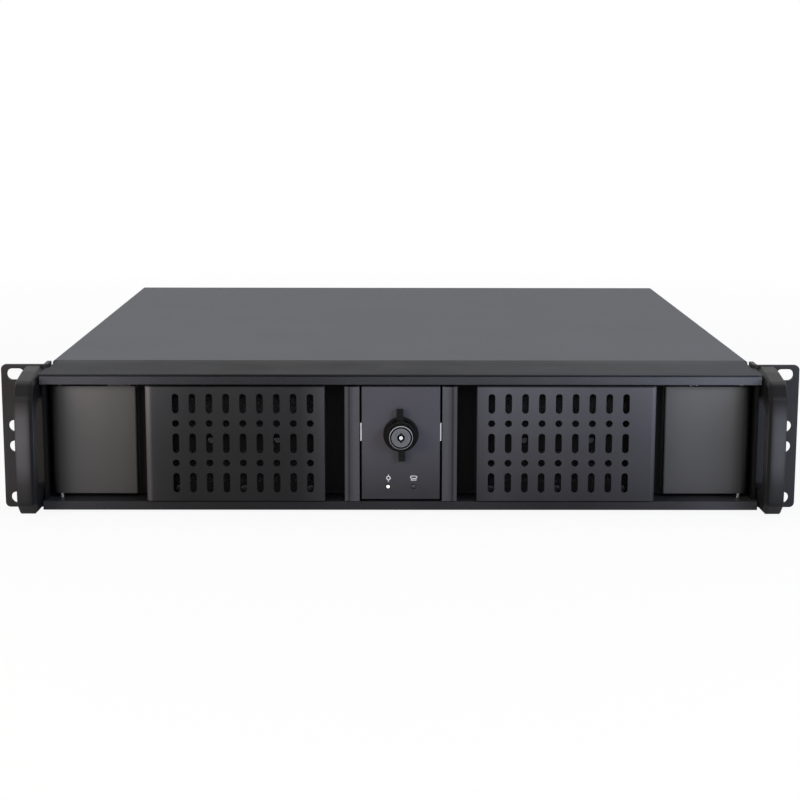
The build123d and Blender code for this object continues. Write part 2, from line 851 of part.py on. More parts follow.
# Hinge pins, held in the lips of both rails
with BuildPart() as hinge_pin:
    pin_bottom = window_bottom - pin_grip + 0.1
    with BuildSketch(Plane.XY.offset(pin_bottom)):
        with Locations((hinge_x, hinge_y)):
            Circle(pin_diameter / 2)
    extrude(amount=window_top + pin_grip - 0.1 - pin_bottom)
keep_pair(hinge_pin, "hinge_pin")

# Centre housing: open at the back, pierced for the lock, the lamps and the bolts
with BuildPart() as centre_housing:
    with BuildSketch(Plane.XY.offset(housing_bottom)) as plan:
        with Locations((0, housing_face)):
            Rectangle(
                2 * housing_half, bulkhead_front - housing_face, align=(Align.CENTER, Align.MIN)
            )
        fillet(plan.vertices().group_by(Axis.Y)[0], radius=0.8)
    extrude(amount=housing_top - housing_bottom)
    back = centre_housing.faces().sort_by(Axis.Y)[-1]
    offset(amount=-housing_wall, openings=back)
    with BuildSketch(at_depth(housing_face)):
        with Locations((0, lock_z)):
            Circle(shaft_diameter / 2 + shaft_play)
        with Locations((-lamp_x, lamp_z), (lamp_x, lamp_z)):
            Circle(lamp_diameter / 2 + 0.1)
    extrude(amount=-housing_wall, mode=Mode.SUBTRACT)
    with BuildSketch(Plane.YZ.offset(-housing_half)):
        with Locations((bolt_y, lock_z)):
            Rectangle(bolt_thickness + 2 * fit_gap, bolt_height + 2 * fit_gap)
    extrude(amount=2 * housing_half, mode=Mode.SUBTRACT)
    # Posts that carry the guide plate
    with BuildSketch(at_depth(housing_face + housing_wall)):
        with Locations(
            *[(i * guide_post_x, lock_z + j * guide_post_z) for i in (-1, 1) for j in (-1, 1)]
        ):
            Circle(guide_post_diameter / 2)
            Circle(guide_screw_shank / 2 + 0.1, mode=Mode.SUBTRACT)
    guide_front = bolt_y + bolt_thickness / 2 + fit_gap
    extrude(amount=housing_face + housing_wall - guide_front)
keep(centre_housing, "centre_housing")

# Fixed ring around the knob
with BuildPart() as lock_ring:
    with BuildSketch(at_depth(housing_face)):
        with Locations((0, lock_z)):
            Circle(lock_ring_diameter / 2)
            Circle(lock_ring_bore / 2, mode=Mode.SUBTRACT)
    extrude(amount=lock_ring_rise)
    chamfer(lock_ring.faces().sort_by(Axis.Y)[0].outer_wire().edges(), length=0.5)
keep(lock_ring, "lock_ring")

# Wing knob: hub with two wings, bored for the cylinder, and a shaft through the housing
knob_back = housing_face - knob_lift
hub_front = knob_back - hub_reach
wing_back = housing_face - lock_ring_rise - 0.5
gear_front = bolt_y - bolt_thickness / 2 - 0.2
gear_back = bolt_y + bolt_thickness / 2 + 0.2


def shaft_end(play):
    # Round end with one flat, larger all round by the play that a bore needs.
    with BuildSketch() as end:
        Circle(shaft_end_diameter / 2 + play)
        with Locations((shaft_flat + play + shaft_end_diameter / 2, 0)):
            Rectangle(shaft_end_diameter, 2 * shaft_end_diameter, mode=Mode.SUBTRACT)
    return end.sketch


with BuildPart() as wing_knob:
    with BuildSketch(at_depth(knob_back)):
        with Locations((0, lock_z)):
            Circle(hub_diameter / 2)
    extrude(amount=hub_reach)
    with BuildSketch(at_depth(wing_back)) as wings:
        with Locations(Location((0, lock_z), wing_tilt)):
            Rectangle(wing_width, wing_span)
            Ellipse(wing_width * 0.95, hub_diameter * 0.62)
        with Locations((0, lock_z)):
            Circle(hub_diameter / 2)
    extrude(amount=wing_thickness)
    chamfer(wing_knob.faces().sort_by(Axis.Y)[0].outer_wire().edges(), length=0.5)
    with BuildSketch(at_depth(hub_front)):
        with Locations((0, lock_z)):
            Circle(cylinder_diameter / 2 + cylinder_play)
    extrude(amount=hub_floor - hub_reach, mode=Mode.SUBTRACT)
    with BuildSketch(at_depth(knob_back)):
        with Locations((0, lock_z)):
            Circle(shaft_diameter / 2)
    extrude(amount=knob_back - gear_front)
    # A flat on the shaft's end turns the pinion.
    with BuildSketch(at_depth(gear_front)):
        with Locations((0, lock_z)):
            add(shaft_end(0))
    extrude(amount=gear_front - gear_back - guide_sheet)
keep(wing_knob, "wing_knob")

# Lock cylinder, seated in the hub
cylinder_front = housing_face - cylinder_reach
cylinder_back = knob_back - hub_floor
with BuildPart() as lock_cylinder:
    with BuildSketch(at_depth(cylinder_back)):
        with Locations((0, lock_z)):
            Circle(cylinder_diameter / 2)
    extrude(amount=cylinder_back - cylinder_front)
    chamfer(lock_cylinder.faces().sort_by(Axis.Y)[0].edges(), length=0.3)
    with BuildSketch(at_depth(cylinder_front)):
        with Locations((0, lock_z)):
            Circle(rim_groove_outer / 2)
            Circle(rim_groove_inner / 2, mode=Mode.SUBTRACT)
    extrude(amount=-rim_groove_depth, mode=Mode.SUBTRACT)
    with BuildSketch(at_depth(cylinder_front)):
        with Locations((0, lock_z)):
            Circle(plug_diameter / 2 + shaft_play)
    extrude(amount=cylinder_front + plug_floor - cylinder_back, mode=Mode.SUBTRACT)
keep(lock_cylinder, "lock_cylinder")

# Key plug: round keyway about a pin, with a notch above and below
plug_back = cylinder_back - plug_floor - shaft_play
with BuildPart() as key_plug:
    with BuildSketch(at_depth(plug_back)):
        with Locations((0, lock_z)):
            Circle(plug_diameter / 2)
    extrude(amount=plug_back - cylinder_front)
    with BuildSketch(at_depth(cylinder_front)):
        with Locations((0, lock_z)):
            Circle(keyway_diameter / 2)
            Rectangle(key_notch_width, key_notch_height)
            Circle(key_pin_diameter / 2, mode=Mode.SUBTRACT)
    extrude(amount=-keyway_depth, mode=Mode.SUBTRACT)
keep(key_plug, "key_plug")

# Pinion with involute teeth; the racks mesh with it above and below
pitch_radius = gear_module * pinion_teeth / 2
tip_radius = pitch_radius + gear_module
root_radius = pitch_radius - 1.25 * gear_module
base_radius = pitch_radius * cos(radians(pressure_angle))
tooth_pitch = pi * gear_module
half_tooth = (tooth_pitch / 2 - tooth_play) / 2


def flank_angle(radius):
    # Degrees from a tooth's middle to its involute flank at this radius.
    roll = sqrt(max((radius / base_radius) ** 2 - 1, 0))
    rise = tan(radians(pressure_angle)) - radians(pressure_angle) - (roll - atan(roll))
    return degrees(half_tooth / pitch_radius + rise)


def gear_point(radius, angle):
    return (radius * cos(radians(angle)), radius * sin(radians(angle)))


def pinion_outline():
    # Gear seen from the front, with a bore that has the shaft's flat.
    middle_radius = (base_radius + tip_radius) / 2
    base_half = flank_angle(base_radius)
    middle_half = flank_angle(middle_radius)
    tip_half = flank_angle(tip_radius)
    with BuildSketch() as gear:
        with BuildLine():
            for tooth in range(pinion_teeth):
                turn = 90 + tooth * 360 / pinion_teeth
                up_base = gear_point(base_radius, turn - base_half)
                up_tip = gear_point(tip_radius, turn - tip_half)
                down_tip = gear_point(tip_radius, turn + tip_half)
                down_base = gear_point(base_radius, turn + base_half)
                down_root = gear_point(root_radius, turn + base_half)
                next_root = gear_point(root_radius, turn + 360 / pinion_teeth - base_half)
                Line(gear_point(root_radius, turn - base_half), up_base)
                ThreePointArc(up_base, gear_point(middle_radius, turn - middle_half), up_tip)
                Line(up_tip, down_tip)
                ThreePointArc(down_tip, gear_point(middle_radius, turn + middle_half), down_base)
                Line(down_base, down_root)
                Line(down_root, next_root)
        make_face()
        add(shaft_end(0.05), mode=Mode.SUBTRACT)
    return gear.sketch


with BuildPart() as lock_pinion:
    with BuildSketch(at_depth(gear_back)):
        with Locations((0, lock_z)):
            add(pinion_outline())
    extrude(amount=gear_back - gear_front)
keep(lock_pinion, "lock_pinion")


def bolt_outline():
    # Left bolt seen from the front, about the pinion's centre: bar, shoulder and rack.
    root_line = pitch_radius + 1.2 * gear_module
    tip_line = pitch_radius - 0.9 * gear_module
    slope = tan(radians(pressure_angle))
    with BuildSketch() as outline:
        with Locations((-(bolt_tip + bolt_root) / 2, 0)):
            Rectangle(bolt_tip - bolt_root, bolt_height)
        with Locations((-bolt_root - 2.0, root_line)):
            Rectangle(bolt_root + 2.0 + rack_reach, rack_back, align=Align.MIN)
        first = -int(rack_reach / tooth_pitch)
        for tooth in range(first, -first):
            middle = (tooth + 0.5) * tooth_pitch
            wide = half_tooth + (root_line - pitch_radius) * slope
            narrow = half_tooth - (pitch_radius - tip_line) * slope
            with BuildLine():
                Polyline(
                    (middle - wide, root_line),
                    (middle - narrow, tip_line),
                    (middle + narrow, tip_line),
                    (middle + wide, root_line),
                    close=True,
                )
            make_face()
    return outline.sketch


for name, turn in (("left_bolt", 0), ("right_bolt", 180)):
    with BuildPart() as bolt:
        with BuildSketch(at_depth(bolt_y + bolt_thickness / 2)):
            with Locations(Location((0, lock_z), turn)):
                add(bolt_outline())
        extrude(amount=bolt_thickness)
    keep(bolt, name)

# Guide plate behind the bolts, with a rib above and below them
rack_top = pitch_radius + 1.2 * gear_module + rack_back
guide_half_height = guide_post_z + guide_post_diameter / 2 + 1.0
with BuildPart() as bolt_guide:
    with BuildSketch(at_depth(guide_front)):
        with Locations((0, lock_z)):
            Rectangle(2 * guide_half, 2 * guide_half_height)
            Circle(shaft_end_diameter / 2 + shaft_play, mode=Mode.SUBTRACT)
        with Locations(
            *[(i * guide_post_x, lock_z + j * guide_post_z) for i in (-1, 1) for j in (-1, 1)]
        ):
            Circle(guide_screw_shank / 2 + 0.2, mode=Mode.SUBTRACT)
    extrude(amount=-guide_sheet)
    with BuildSketch(at_depth(guide_front)):
        for side in (-1, 1):
            with Locations((0, lock_z + side * (rack_top + fit_gap + guide_rib / 2))):
                Rectangle(2 * guide_half, guide_rib)
    extrude(amount=bolt_thickness)
keep(bolt_guide, "bolt_guide")

with BuildPart() as guide_screws:
    screw = pan_screw(guide_screw_head, guide_screw_rise, guide_screw_shank, guide_sheet + 4.0)
    for i in (-1, 1):
        for j in (-1, 1):
            place = (i * guide_post_x, guide_front + guide_sheet, lock_z + j * guide_post_z)
            with Locations(Location(place, (-90, 0, 0))):
                add(screw)
keep(guide_screws, "guide_screws")

# Power and disk lamps on their board
board_front = housing_face + 7.0
board_sheet = 1.6
for name, x in (("power_lamp", -lamp_x), ("disk_lamp", lamp_x)):
    with BuildPart() as lamp:
        with BuildSketch(at_depth(board_front)):
            with Locations((x, lamp_z)):
                Circle(lamp_diameter / 2)
        extrude(amount=board_front - housing_face + lamp_rise)
        fillet(lamp.edges().sort_by(Axis.Y)[0], radius=lamp_diameter * 0.35)
        with BuildSketch(at_depth(board_front)):
            with Locations((x, lamp_z)):
                Circle(lamp_diameter / 2 + lamp_flange)
        extrude(amount=1.2)
    keep(lamp, name)

with BuildPart() as lamp_board:
    with BuildSketch(at_depth(board_front)):
        with Locations((0, housing_bottom + housing_wall + fit_gap)):
            Rectangle(lamp_board_width, lamp_board_height, align=(Align.CENTER, Align.MIN))
    extrude(amount=-board_sheet)
keep(lamp_board, "lamp_board")

# Drive cage: one wide bay below, one narrow bay above, open at both ends
cage_front = bulkhead_front + sheet
cage_top = shelf_z + cage_sheet + small_bay_height + cage_sheet
with BuildPart() as drive_cage:
    with BuildSketch(at_depth(cage_front)) as section:
        add(
            folded(
                [
                    (cage_centre + cage_half - cage_foot, sheet),
                    (cage_centre + cage_half, sheet),
                    (cage_centre + cage_half, cage_top),
                    (cage_centre - cage_half, cage_top),
                    (cage_centre - cage_half, sheet),
                    (cage_centre - cage_half + cage_foot, sheet),
                ],
                cage_sheet,
                1.5,
            )
        )
        with Locations((cage_centre, shelf_z + cage_sheet / 2)):
            Rectangle(2 * cage_half - cage_sheet, cage_sheet)
        for side in (-1, 1):
            place = (
                cage_centre + side * (small_bay_width + cage_sheet) / 2,
                (shelf_z + cage_top) / 2,
            )
            with Locations(place):
                Rectangle(cage_sheet, cage_top - shelf_z - cage_sheet)
    extrude(amount=-cage_depth)
    # Slots for the drives' side screws
    with BuildSketch(Plane.YZ.offset(cage_centre - cage_half - 1)):
        with Locations(
            *[(cage_front + y, cage_floor + z) for y in large_screw_y for z in large_screw_z],
            *[(cage_front + y, shelf_z + small_screw_z) for y in small_screw_y],
        ):
            SlotOverall(drive_slot_length, drive_slot_width)
    extrude(amount=2 * cage_half + 2, mode=Mode.SUBTRACT)
keep(drive_cage, "drive_cage")

# Front fan
fan_front = bulkhead_front + sheet
post_front = fan_front + fan_post_step
with BuildPart() as fan_frame:
    for depth in (fan_front, fan_front + fan_depth - fan_flange):
        with BuildSketch(at_depth(depth)):
            with Locations((fan_x, fan_z)):
                RectangleRounded(fan_size, fan_size, 5.0)
        extrude(amount=-fan_flange)
    with BuildSketch(at_depth(fan_front)):
        with Locations((fan_x, fan_z)):
            Circle(fan_size / 2 - 0.2)
    extrude(amount=-fan_depth)
    with BuildSketch(at_depth(fan_front)):
        with Locations((fan_x, fan_z)):
            Circle(fan_bore / 2)
        with Locations(*corner_places):
            Circle(fan_screw_hole / 2)
    extrude(amount=-fan_depth, mode=Mode.SUBTRACT)
    # Motor plate and its struts at the back
    with BuildSketch(at_depth(fan_front + fan_depth - fan_plate)):
        with Locations((fan_x, fan_z)):
            Circle(fan_hub / 2)
        for turn in (45, 135, 225, 315):
            with Locations(Location((fan_x, fan_z), turn)):
                with Locations((fan_bore / 4 + 1.0, 0)):
                    Rectangle(fan_bore / 2 + 1.0, 4.0)
    extrude(amount=-fan_plate)
    with BuildSketch(at_depth(post_front)):
        with Locations((fan_x, fan_z)):
            Circle(fan_post / 2)
    extrude(amount=post_front + fan_plate - fan_front - fan_depth)
keep(fan_frame, "fan_frame")

# Rotor: cup over the motor post, with twisted blades
rotor_front = fan_front + rotor_step
rotor_depth = fan_depth - fan_plate - rotor_step - rotor_gap
cup_floor = 2.0
blade_root = fan_hub / 2 - 0.6
blade_tip = fan_bore / 2 - fan_tip_gap
with BuildPart() as fan_rotor:
    with BuildSketch(at_depth(rotor_front)):
        with Locations((fan_x, fan_z)):
            Circle(fan_hub / 2)
    extrude(amount=-rotor_depth)
    fillet(fan_rotor.faces().sort_by(Axis.Y)[0].edges(), radius=1.5)
    with BuildSketch(at_depth(rotor_front + cup_floor)):
        with Locations((fan_x, fan_z)):
            Circle(fan_hub / 2 - rotor_wall)
    extrude(amount=-rotor_depth, mode=Mode.SUBTRACT)
    with BuildSketch(at_depth(rotor_front + cup_floor)):
        with Locations((fan_x, fan_z)):
            Circle(rotor_sleeve / 2)
            Circle(rotor_sleeve_bore / 2, mode=Mode.SUBTRACT)
    extrude(amount=2 * cup_floor - rotor_depth)
    centre = Vector(fan_x, rotor_front + rotor_depth / 2, fan_z)
    for blade in range(fan_blades):
        turn = radians(blade * 360 / fan_blades)
        outward = Vector(cos(turn), 0, sin(turn))
        across = Vector(-sin(turn), 0, cos(turn))
        with BuildPart(mode=Mode.PRIVATE) as one_blade:
            for reach, pitch, share in ((blade_root, 38.0, 1.0), (blade_tip + 1.0, 62.0, 0.62)):
                along = across * sin(radians(pitch)) + Vector(0, 1, 0) * cos(radians(pitch))
                chord = share * (rotor_depth - 2.0) / cos(radians(pitch))
                plane = Plane(origin=centre + outward * reach, x_dir=along, z_dir=outward)
                with BuildSketch(plane):
                    RectangleRounded(chord, blade_thickness, blade_thickness * 0.45)
            loft()
        add(one_blade.part)
    with BuildSketch(at_depth(rotor_front)):
        with Locations((fan_x, fan_z)):
            Circle(blade_tip)
    extrude(amount=-rotor_depth, mode=Mode.INTERSECT)
keep(fan_rotor, "fan_rotor")

with BuildPart() as fan_screws:
    screw = pan_screw(fan_screw_head, screw_rise, fan_screw_shank, sheet + fan_screw_reach)
    for x, z in corner_places:
        with Locations(Location((x, bulkhead_front, z), (90, 0, 0))):
            add(screw)
keep(fan_screws, "fan_screws")

# Front control block: buttons and data sockets behind the right door
with BuildPart() as control_block:
    with BuildSketch(at_depth(control_face)):
        with Locations((control_x, control_z)):
            RectangleRounded(control_right - control_left, control_height, 3.0)
    extrude(amount=-control_depth)
    back = control_block.faces().sort_by(Axis.Y)[-1]
    offset(amount=-control_wall, openings=back)
    with BuildSketch(at_depth(bulkhead_front)):
        with Locations((control_x, control_z)):
            RectangleRounded(
                control_right - control_left, control_height + 4 * control_screw_out, 2.0
            )
            Rectangle(
                control_right - control_left - 1.0, control_height - 1.0, mode=Mode.SUBTRACT
            )
    extrude(amount=control_flange)
    with BuildSketch(at_depth(control_face)):
        with Locations((control_x, power_z)):
            Circle(power_diameter / 2 + button_play)
        with Locations((control_x, reset_z)):
            Circle(reset_diameter / 2 + button_play)
        with Locations(*[(control_x, z) for z in socket_z]):
            Rectangle(socket_width + 0.4, socket_height + 0.4)
    extrude(amount=-control_wall, mode=Mode.SUBTRACT)
    with BuildSketch(at_depth(bulkhead_front - control_flange)):
        with Locations(*[(control_x, z) for z in control_screw_z]):
            Circle(screw_shank / 2 + 0.1)
    extrude(amount=-control_flange, mode=Mode.SUBTRACT)
keep(control_block, "control_block")

board_back = control_face + control_depth
switch_front = board_back - switch_height
flange_front = control_face + control_wall + button_gap
flange_back = flange_front + button_flange
for name, z, size, rise, travel in (
    ("power_button", power_z, power_diameter, power_rise, power_travel),
    ("reset_button", reset_z, reset_diameter, 0.0, reset_travel),
):
    with BuildPart() as button:
        with BuildSketch(at_depth(control_face - rise)):
            with Locations((control_x, z)):
                Circle(size / 2)
        extrude(amount=control_face - rise - flange_back)
        fillet(button.faces().sort_by(Axis.Y)[0].edges(), radius=0.8)
        with BuildSketch(at_depth(flange_front)):
            with Locations((control_x, z)):
                Circle(size / 2 + button_flange_reach)
        extrude(amount=-button_flange)
        with BuildSketch(at_depth(flange_back)):
            with Locations((control_x, z)):
                Circle(stem_diameter / 2)
        extrude(amount=flange_back + travel + fit_gap - switch_front)
    keep(button, name)

# Board that closes the block, with a switch behind each button
with BuildPart() as control_board:
    with BuildSketch(at_depth(board_back)):
        with Locations((control_x, control_z)):
            Rectangle(control_right - control_left, control_height)
    extrude(amount=-board_sheet)
    with BuildSketch(at_depth(board_back)):
        with Locations((control_x, power_z), (control_x, reset_z)):
            Rectangle(switch_size, switch_size)
    extrude(amount=board_back - switch_front)
keep(control_board, "control_board")

with BuildPart() as data_sockets:
    with BuildSketch(at_depth(control_face - 0.3)):
        with Locations(*[(control_x, z) for z in socket_z]):
            Rectangle(socket_width, socket_height)
            Rectangle(
                socket_width - 2 * socket_wall, socket_height - 2 * socket_wall, mode=Mode.SUBTRACT
            )
    extrude(amount=control_face - 0.3 - board_back)
    with BuildSketch(at_depth(board_back - 1.0)):
        with Locations(*[(control_x, z) for z in socket_z]):
            Rectangle(socket_width - 2 * socket_wall, socket_height - 2 * socket_wall)
    extrude(amount=-1.0)
    with BuildSketch(at_depth(board_back - 1.0)):
        with Locations(*[(control_x, z + 0.9) for z in socket_z]):
            Rectangle(tongue_width, tongue_height)
    extrude(amount=tongue_length)
keep(data_sockets, "data_sockets")

with BuildPart() as control_screws:
    screw = pan_screw(screw_head, screw_rise, screw_shank, control_flange + sheet + 2.0)
    for z in control_screw_z:
        with Locations(Location((control_x, bulkhead_front - control_flange, z), (90, 0, 0))):
            add(screw)
keep(control_screws, "control_screws")

slot_x = [slot_first - i * slot_pitch for i in range(slot_count)]
slot_screw_z = slot_bottom + slot_height + slot_screw_rise

# Rear panel: flanged plate with power supply, connector and card openings
with BuildPart() as rear_panel:
    with BuildSketch(Plane.XY.offset(sheet)):
        add(
            folded(
                [
                    (inner_half, rear_face - bulkhead_flange),
                    (inner_half, rear_face),
                    (-inner_half, rear_face),
                    (-inner_half, rear_face - bulkhead_flange),
                ],
                sheet,
                bend_radius,
            )
        )
    extrude(amount=cover_under - 2 * sheet - 0.1)
    with BuildSketch(at_depth(rear_face)):
        with Locations((psu_left, psu_bottom)):
            Rectangle(psu_right - psu_left, psu_top - psu_bottom, align=Align.MIN)
        with Locations((shield_left, shield_bottom)):
            Rectangle(shield_width, shield_height, align=Align.MIN)
        with Locations(*[(x, slot_bottom) for x in slot_x]):
            Rectangle(slot_width, slot_height, align=(Align.CENTER, Align.MIN))
        vent_z = (shield_bottom + shield_height + cover_under) / 2 + 1.0
        with Locations((shield_left + shield_width / 2, vent_z)):
            with GridLocations(vent_bar_pitch, 1, vent_bars, 1):
                SlotOverall(vent_bar_length, vent_bar_width, rotation=90)
        with Locations(
            *[(x, slot_screw_z) for x in slot_x],
            *[(x, lip_screw_z) for x in lip_screw_x],
        ):
            Circle(screw_shank / 2 + 0.1)
    extrude(amount=sheet, mode=Mode.SUBTRACT)
keep(rear_panel, "rear_panel")

# Covers behind the card slots, each with its screw
with BuildPart() as slot_covers:
    with BuildSketch(at_depth(rear_face - sheet)):
        with Locations(*[(x, slot_bottom - slot_cover_overlap) for x in slot_x]):
            Rectangle(slot_cover_width, slot_cover_height, align=(Align.CENTER, Align.MIN))
        with Locations(*[(x, slot_screw_z) for x in slot_x]):
            Circle(screw_shank / 2 + 0.1, mode=Mode.SUBTRACT)
    extrude(amount=slot_cover_sheet)
keep(slot_covers, "slot_covers")

with BuildPart() as slot_screws:
    screw = pan_screw(screw_head, screw_rise, screw_shank, sheet + slot_cover_sheet + 2.0)
    for x in slot_x:
        with Locations(Location((x, rear_face, slot_screw_z), (-90, 0, 0))):
            add(screw)
keep(slot_screws, "slot_screws")

# Shelf that carries the inner end of a power supply
shelf_depth = 20.0
with BuildPart() as psu_shelf:
    with BuildSketch(at_depth(rear_y - psu_length)):
        add(
            folded(
                [
                    (psu_left - shelf_inner_foot, sheet),
                    (psu_left, sheet),
                    (psu_left, psu_bottom - psu_step - sheet),
                    (psu_right, psu_bottom - psu_step - sheet),
                    (psu_right, sheet),
                    (psu_right + shelf_outer_foot, sheet),
                ],
                sheet,
                0.8,
            )
        )
    extrude(amount=shelf_depth)
keep(psu_shelf, "psu_shelf")

# Hexagonal standoffs for a full-size board
with BuildPart() as board_standoffs:
    with BuildSketch(Plane.XY.offset(sheet)):
        with Locations(*[(x, y) for x in standoff_x for y in standoff_y]):
            RegularPolygon(standoff_width / 2, 6)
            Circle(standoff_bore / 2, mode=Mode.SUBTRACT)
    extrude(amount=standoff_height)
keep(board_standoffs, "board_standoffs")
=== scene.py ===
import bpy
import numpy as np
from math import radians
from mathutils import Euler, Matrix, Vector


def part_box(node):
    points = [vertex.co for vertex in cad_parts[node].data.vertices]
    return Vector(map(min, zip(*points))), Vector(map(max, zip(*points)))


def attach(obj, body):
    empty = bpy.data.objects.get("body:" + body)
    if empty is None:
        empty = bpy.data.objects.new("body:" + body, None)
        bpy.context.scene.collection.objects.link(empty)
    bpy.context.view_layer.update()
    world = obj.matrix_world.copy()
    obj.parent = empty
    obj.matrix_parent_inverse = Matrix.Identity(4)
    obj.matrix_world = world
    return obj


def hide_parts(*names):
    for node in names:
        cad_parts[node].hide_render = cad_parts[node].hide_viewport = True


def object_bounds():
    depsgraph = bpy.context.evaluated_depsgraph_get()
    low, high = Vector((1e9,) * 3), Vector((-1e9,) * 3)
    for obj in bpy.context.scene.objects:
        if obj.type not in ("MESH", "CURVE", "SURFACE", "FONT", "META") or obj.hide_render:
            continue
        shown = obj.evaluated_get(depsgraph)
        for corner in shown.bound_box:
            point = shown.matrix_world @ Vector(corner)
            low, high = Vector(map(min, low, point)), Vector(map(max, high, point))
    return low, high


# A shallow two-unit rack case in black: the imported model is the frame, and this script dresses it.
# One Blender unit is a metre. X runs to the right, Y into the case and Z up.

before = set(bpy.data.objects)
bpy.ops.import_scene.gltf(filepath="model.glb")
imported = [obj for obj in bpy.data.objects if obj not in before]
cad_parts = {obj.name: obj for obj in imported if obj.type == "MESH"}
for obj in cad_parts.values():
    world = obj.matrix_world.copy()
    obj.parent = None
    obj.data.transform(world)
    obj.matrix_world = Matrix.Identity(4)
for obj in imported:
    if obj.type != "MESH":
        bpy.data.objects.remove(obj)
cadLow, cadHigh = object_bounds()
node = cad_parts
print("frame loaded:", len(node), "pieces")

mm = 0.001
caseHeight, halfWidth = cadHigh[2] / mm, cadHigh[0] / mm


# helpers

def linear(hexCode):
    # an sRGB hex colour as the linear RGBA that Blender's sockets take
    channel = np.array([int(hexCode[i:i + 2], 16) for i in (1, 3, 5)]) / 255
    low = channel / 12.92
    high = ((channel + 0.055) / 1.055) ** 2.4
    return (*np.where(channel <= 0.04045, low, high), 1.0)


def addNode(tree, kind, inputs=(), stops=(), **settings):
    # one node with its settings; inputs go by name or in the node's own order, each a value or a
    # socket to link from; stops are (place, hex colour or grey level) along a colour ramp
    made = tree.nodes.new("ShaderNode" + kind)
    for name, value in settings.items():
        setattr(made, name, value)
    for key, value in inputs.items() if isinstance(inputs, dict) else enumerate(inputs):
        if isinstance(value, bpy.types.NodeSocket):
            tree.links.new(value, made.inputs[key])
        else:
            made.inputs[key].default_value = value
    if stops:
        points = made.color_ramp.elements
        while len(points) < len(stops):
            points.new(0.5)
        for point, (at, colour) in zip(points, stops):
            point.position = at
            point.color = linear(colour) if isinstance(colour, str) else (colour, colour, colour, 1)
    return made


def newMaterial(name, **values):
    # an empty material with its shader and output, and plain values set on the shader's sockets
    made = bpy.data.materials.new(name)
    made.use_nodes = True
    tree = made.node_tree
    tree.nodes.clear()
    plain = {socket.replace("_", " "): value for socket, value in values.items()}
    shader = addNode(tree, "BsdfPrincipled", plain)
    addNode(tree, "OutputMaterial", {"Surface": shader.outputs["BSDF"]})
    return made, tree, shader


def place(tree, scale=(1, 1, 1), location=(0, 0, 0), rotation=(0, 0, 0)):
    # object coordinates in metres, stretched, shifted or turned
    at = addNode(tree, "TexCoord")
    moved = addNode(tree, "Mapping", {
        "Vector": at.outputs["Object"], "Scale": scale, "Location": location, "Rotation": rotation,
    })
    return moved.outputs["Vector"]


mostClouds = (0.3, 0.7)  # nearly all of a cloudy pattern's values lie between these


def clouds(tree, size, detail=2.0, coarse=0.5, scale=(1, 1, 1)):
    # cloudy pattern whose spots are about this many millimetres across
    made = addNode(tree, "TexNoise", {
        "Vector": place(tree, scale), "Scale": 1000 / size, "Detail": detail, "Roughness": coarse,
    })
    return made.outputs["Fac"]


def along(tree, value, low, high, stops):
    # a share from 0 to 1, read off a line through stops of (millimetres, share)
    part = addNode(tree, "MapRange", [value, low * mm, high * mm, 0.0, 1.0])
    shares = [((at - low) / (high - low), share) for at, share in stops]
    return addNode(tree, "ValToRGB", [part.outputs["Result"]], shares).outputs["Color"]


def fromAxis(tree, x, z):
    # distance in metres from a line along Y through this x and z
    flat = place(tree, scale=(1, 0, 1), location=(-x, 0, -z))
    return addNode(tree, "VectorMath", [flat], operation="LENGTH").outputs["Value"]


def middle(name):
    # x and z of the middle of a piece's box, in metres
    low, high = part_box(name)
    return (low[0] + high[0]) / 2, (low[2] + high[2]) / 2


def finish(tree, shader, colour, rough, height, distance, strength=0.6):
    # links the colour, the roughness and a bump whose height is in millimetres
    tree.links.new(colour, shader.inputs["Base Color"])
    if isinstance(rough, bpy.types.NodeSocket):
        tree.links.new(rough, shader.inputs["Roughness"])
    else:
        shader.inputs["Roughness"].default_value = rough
    bump = addNode(tree, "Bump", {"Height": height, "Distance": distance * mm, "Strength": strength})
    tree.links.new(bump.outputs["Normal"], shader.inputs["Normal"])


def dress(material, *names):
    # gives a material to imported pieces, by name, or to a new piece
    for name in names:
        mesh = node[name].data if isinstance(name, str) else name.data
        mesh.materials.clear()
        mesh.materials.append(material)


def bothSides(*names):
    return [side + name for side in ("left_", "right_") for name in names]


# materials: cloud, grain, peel, spangle, line and cell are sizes in millimetres

powderCoat = dict(colour="#2c2f38", shade="#262930", pale="#424753", deep="#191b21", cloud=70.0,
                  grain=1.1, height=0.035, specks=0.25, rough=0.60, specular=0.40)


def powderCoatedSteel():
    # textured polyester powder baked on steel: dark grey with a broad dull sheen, and finely
    # pebbled, with the pebbles drawn coarser than they are so that they show
    v = powderCoat
    made, tree, shader = newMaterial("powderCoatedSteel", Specular_IOR_Level=v["specular"])
    grain = clouds(tree, v["grain"], 3.0, 0.6)
    broad = clouds(tree, v["cloud"])
    base = addNode(tree, "ValToRGB", [broad], ((0.35, v["shade"]), (0.65, v["colour"])))
    pebbles = addNode(tree, "ValToRGB", [grain], ((0.4, v["deep"]), (0.7, v["pale"])))
    colour = addNode(tree, "MixRGB", [v["specks"], base.outputs["Color"], pebbles.outputs["Color"]])
    rough = addNode(tree, "MapRange", [grain, *mostClouds, v["rough"] - 0.05, v["rough"] + 0.05])
    finish(tree, shader, colour.outputs["Color"], rough.outputs["Result"], grain, v["height"], 0.8)
    return made


# the near-black colour is painted shade, and the light grey is a painted highlight, mixed into the paints
satinPaint = dict(cloud=45.0, rough=0.46, peel=2.4, height=0.02, specular=0.28, shadeColour="#060607",
                  mattRough=0.9, highlightColour="#77777a",
                  tall=None, wide=None, across=None, inner=None, rubbed=None)


